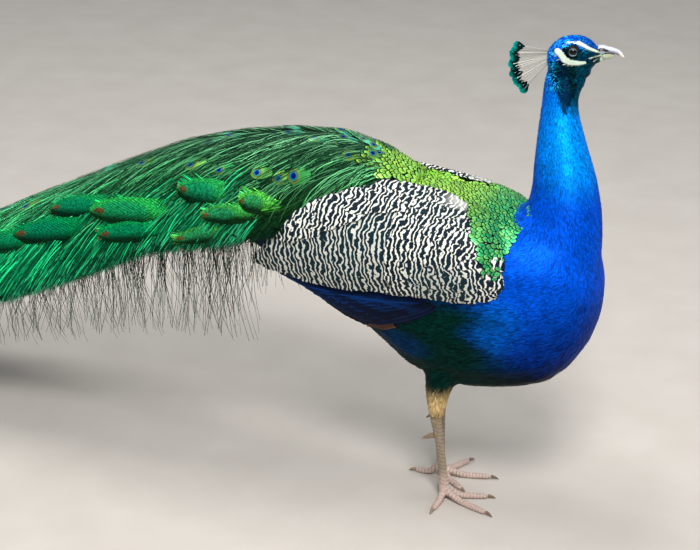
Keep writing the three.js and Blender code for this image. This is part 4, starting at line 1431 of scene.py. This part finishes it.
def bill_colour(local, upper):
    """Blue-grey horn with a pale blue-grey painted highlight along the ridge, a creamy tip, a mint-white
    base and a brown cutting edge.
    """
    x, height = local[:, 0], local[:, 2]
    if not upper:
        grain = np.clip(np.sin(height * 1.3 + x * 0.2), 0, 1) * 0.4
        return blend(srgb(178, 188, 158), srgb(116, 114, 98), grain)
    stations = [31, 42, 52, 60, 66]
    ridge = height - np.interp(x, stations, [17, 16, 14, 10.5, 4.5])
    lip = height - np.interp(x, stations, [5.6, 7.2, 6.4, 3.2, 0.6])
    return layered(
        np.broadcast_to(srgb(116, 118, 132), local.shape),
        # Painted highlight: pale blue-grey along the top of the ridge.
        (srgb(206, 208, 226), rise(-4.5, -2, ridge) * 0.9),
        (srgb(136, 114, 96), fall(0.8, 2.2, lip) * 0.8),
        (srgb(208, 230, 222), fall(37, 42, x) * fall(8.5, 10.5, height) * 0.9),
        (srgb(236, 226, 208), rise(57, 63, x) * 0.85),
    )


def make_bills():
    material = make_horn("bill_horn", 0.34)
    for node, upper in (("bill_upper", True), ("bill_lower", False)):
        points, faces = remeshed([node], VOXEL["bill"], 6)
        points = points + point_normals(points, faces) * 0.25
        local = to_head(points)
        tint = bill_colour(local, upper)
        if upper:
            slit = path_distance(local[:, [0, 2]], [(29.5, 11.4), (33, 13.6), (38, 13.2), (43, 11)])
            hole = fall(1.1, 2.1, slit) * (np.abs(local[:, 1]) > 2.5)
            flap = fall(0.4, 1.6, np.abs(slit - 2.6)) * (np.abs(local[:, 1]) > 2.5)
            points = points + point_normals(points, faces) * (0.5 * flap - 1.6 * hole)[:, None]
            # Painted shade: the sunken nostril slit near-black inside.
            tint = blend(tint, srgb(14, 16, 16), hole)
        mesh_object(f"{node}_horn", points, faces, material, tint=tint, nodes=[node])


def make_eyes():
    """Two glossy dark balls, bulging a little at the front, with a faint brown iris."""
    material = make_eye()
    tilts, turns = 25, 32
    tilt, turn = (grid.ravel() for grid in np.meshgrid(
        np.linspace(0, np.pi, tilts), np.linspace(0, 2 * np.pi, turns, endpoint=False), indexing="ij"))
    bulge = EYE["radius"] * (1 + 0.04 * fall(0, 0.6, tilt))
    iris = rise(0.36, 0.42, tilt) * fall(0.66, 0.74, tilt)
    tint = blend(srgb(4, 4, 5), srgb(16, 11, 10), iris)
    for name, side in SIDES.items():
        local = np.stack([
            EYE["forward"] + bulge * np.sin(tilt) * np.cos(turn),
            side * (EYE["out"] + bulge * np.cos(tilt)),
            EYE["up"] + bulge * np.sin(tilt) * np.sin(turn),
        ], 1)
        mesh_object(f"eye_{name}_ball", from_head(local), facing(side, grid_faces(tilts, turns, True)),
                    material, tint=tint, nodes=[f"eye_{name}"])


def make_claws():
    """The eight claws and the two spurs, as one piece of horn."""
    claws = [f"claw_{toe}_{side}" for side in SIDES for toe in ("middle", "inner", "outer", "hind")]
    spurs = [f"spur_{side}" for side in SIDES]
    points, faces = remeshed(claws + spurs, VOXEL["claws"], 4)
    foot = np.minimum(*[np.hypot(points[:, 0] - x, points[:, 1] - y) for x, y in FEET.values()])
    tint = blend(srgb(146, 122, 98), srgb(112, 88, 66), rise(50, 90, foot))
    mesh_object("claws", points, faces, make_horn("claw_horn", 0.4), tint=tint,
                nodes=claws + spurs)


# ---------------------------------------------------------------- setting

def put_in_scene(name, data, place, aim):
    """A camera or lamp in the scene, turned towards a point."""
    thing = bpy.data.objects.new(name, data)
    thing.location = place
    thing.rotation_euler = (Vector(aim) - Vector(place)).to_track_quat("-Z", "Y").to_euler()
    bpy.context.scene.collection.objects.link(thing)
    return thing


def set_the_scene():
    scene = bpy.context.scene
    scene.view_settings.view_transform = "Standard"
    lens = bpy.data.cameras.new("camera")
    lens.lens = CAMERA["lens"]
    lens.sensor_width = 36
    lens.clip_end = 50
    scene.camera = put_in_scene("camera", lens, CAMERA["place"], CAMERA["aim"])
    scene.world = bpy.data.worlds.new("sky")
    scene.world.use_nodes = True
    sky = scene.world.node_tree.nodes["Background"]
    sky.inputs["Color"].default_value = (0.86, 0.92, 1.0, 1)
    sky.inputs["Strength"].default_value = 0.4
    for name, (place, energy, size) in LAMPS.items():
        lamp = bpy.data.lights.new(name, "AREA")
        lamp.energy = energy
        lamp.size = size
        put_in_scene(name, lamp, place, (0.3, 0, 0.35))
    floor = bpy.data.meshes.new("floor")
    corners = [(x * FLOOR, y * FLOOR, 0) for x, y in ((-1, -1), (1, -1), (1, 1), (-1, 1))]
    floor.from_pydata(corners, [], [(0, 1, 2, 3)])
    floor.materials.append(make_floor())
    ground = bpy.data.objects.new("floor", floor)
    scene.collection.objects.link(ground)


set_the_scene()
head_surface, body_surface = make_bare_parts()
plumage_material = make_plumage()
cover_body(body_surface, plumage_material)
cover_head(head_surface, plumage_material)
cover_mantle()
barred_material, flight_material, barb_material = make_barred(), make_flight(), make_barb()
for side_name, side_sign in SIDES.items():
    cover_wing(side_name, side_sign, barred_material, flight_material)
make_train(barb_material, flight_material)
make_crest(barb_material)
make_bills()
make_eyes()
make_claws()
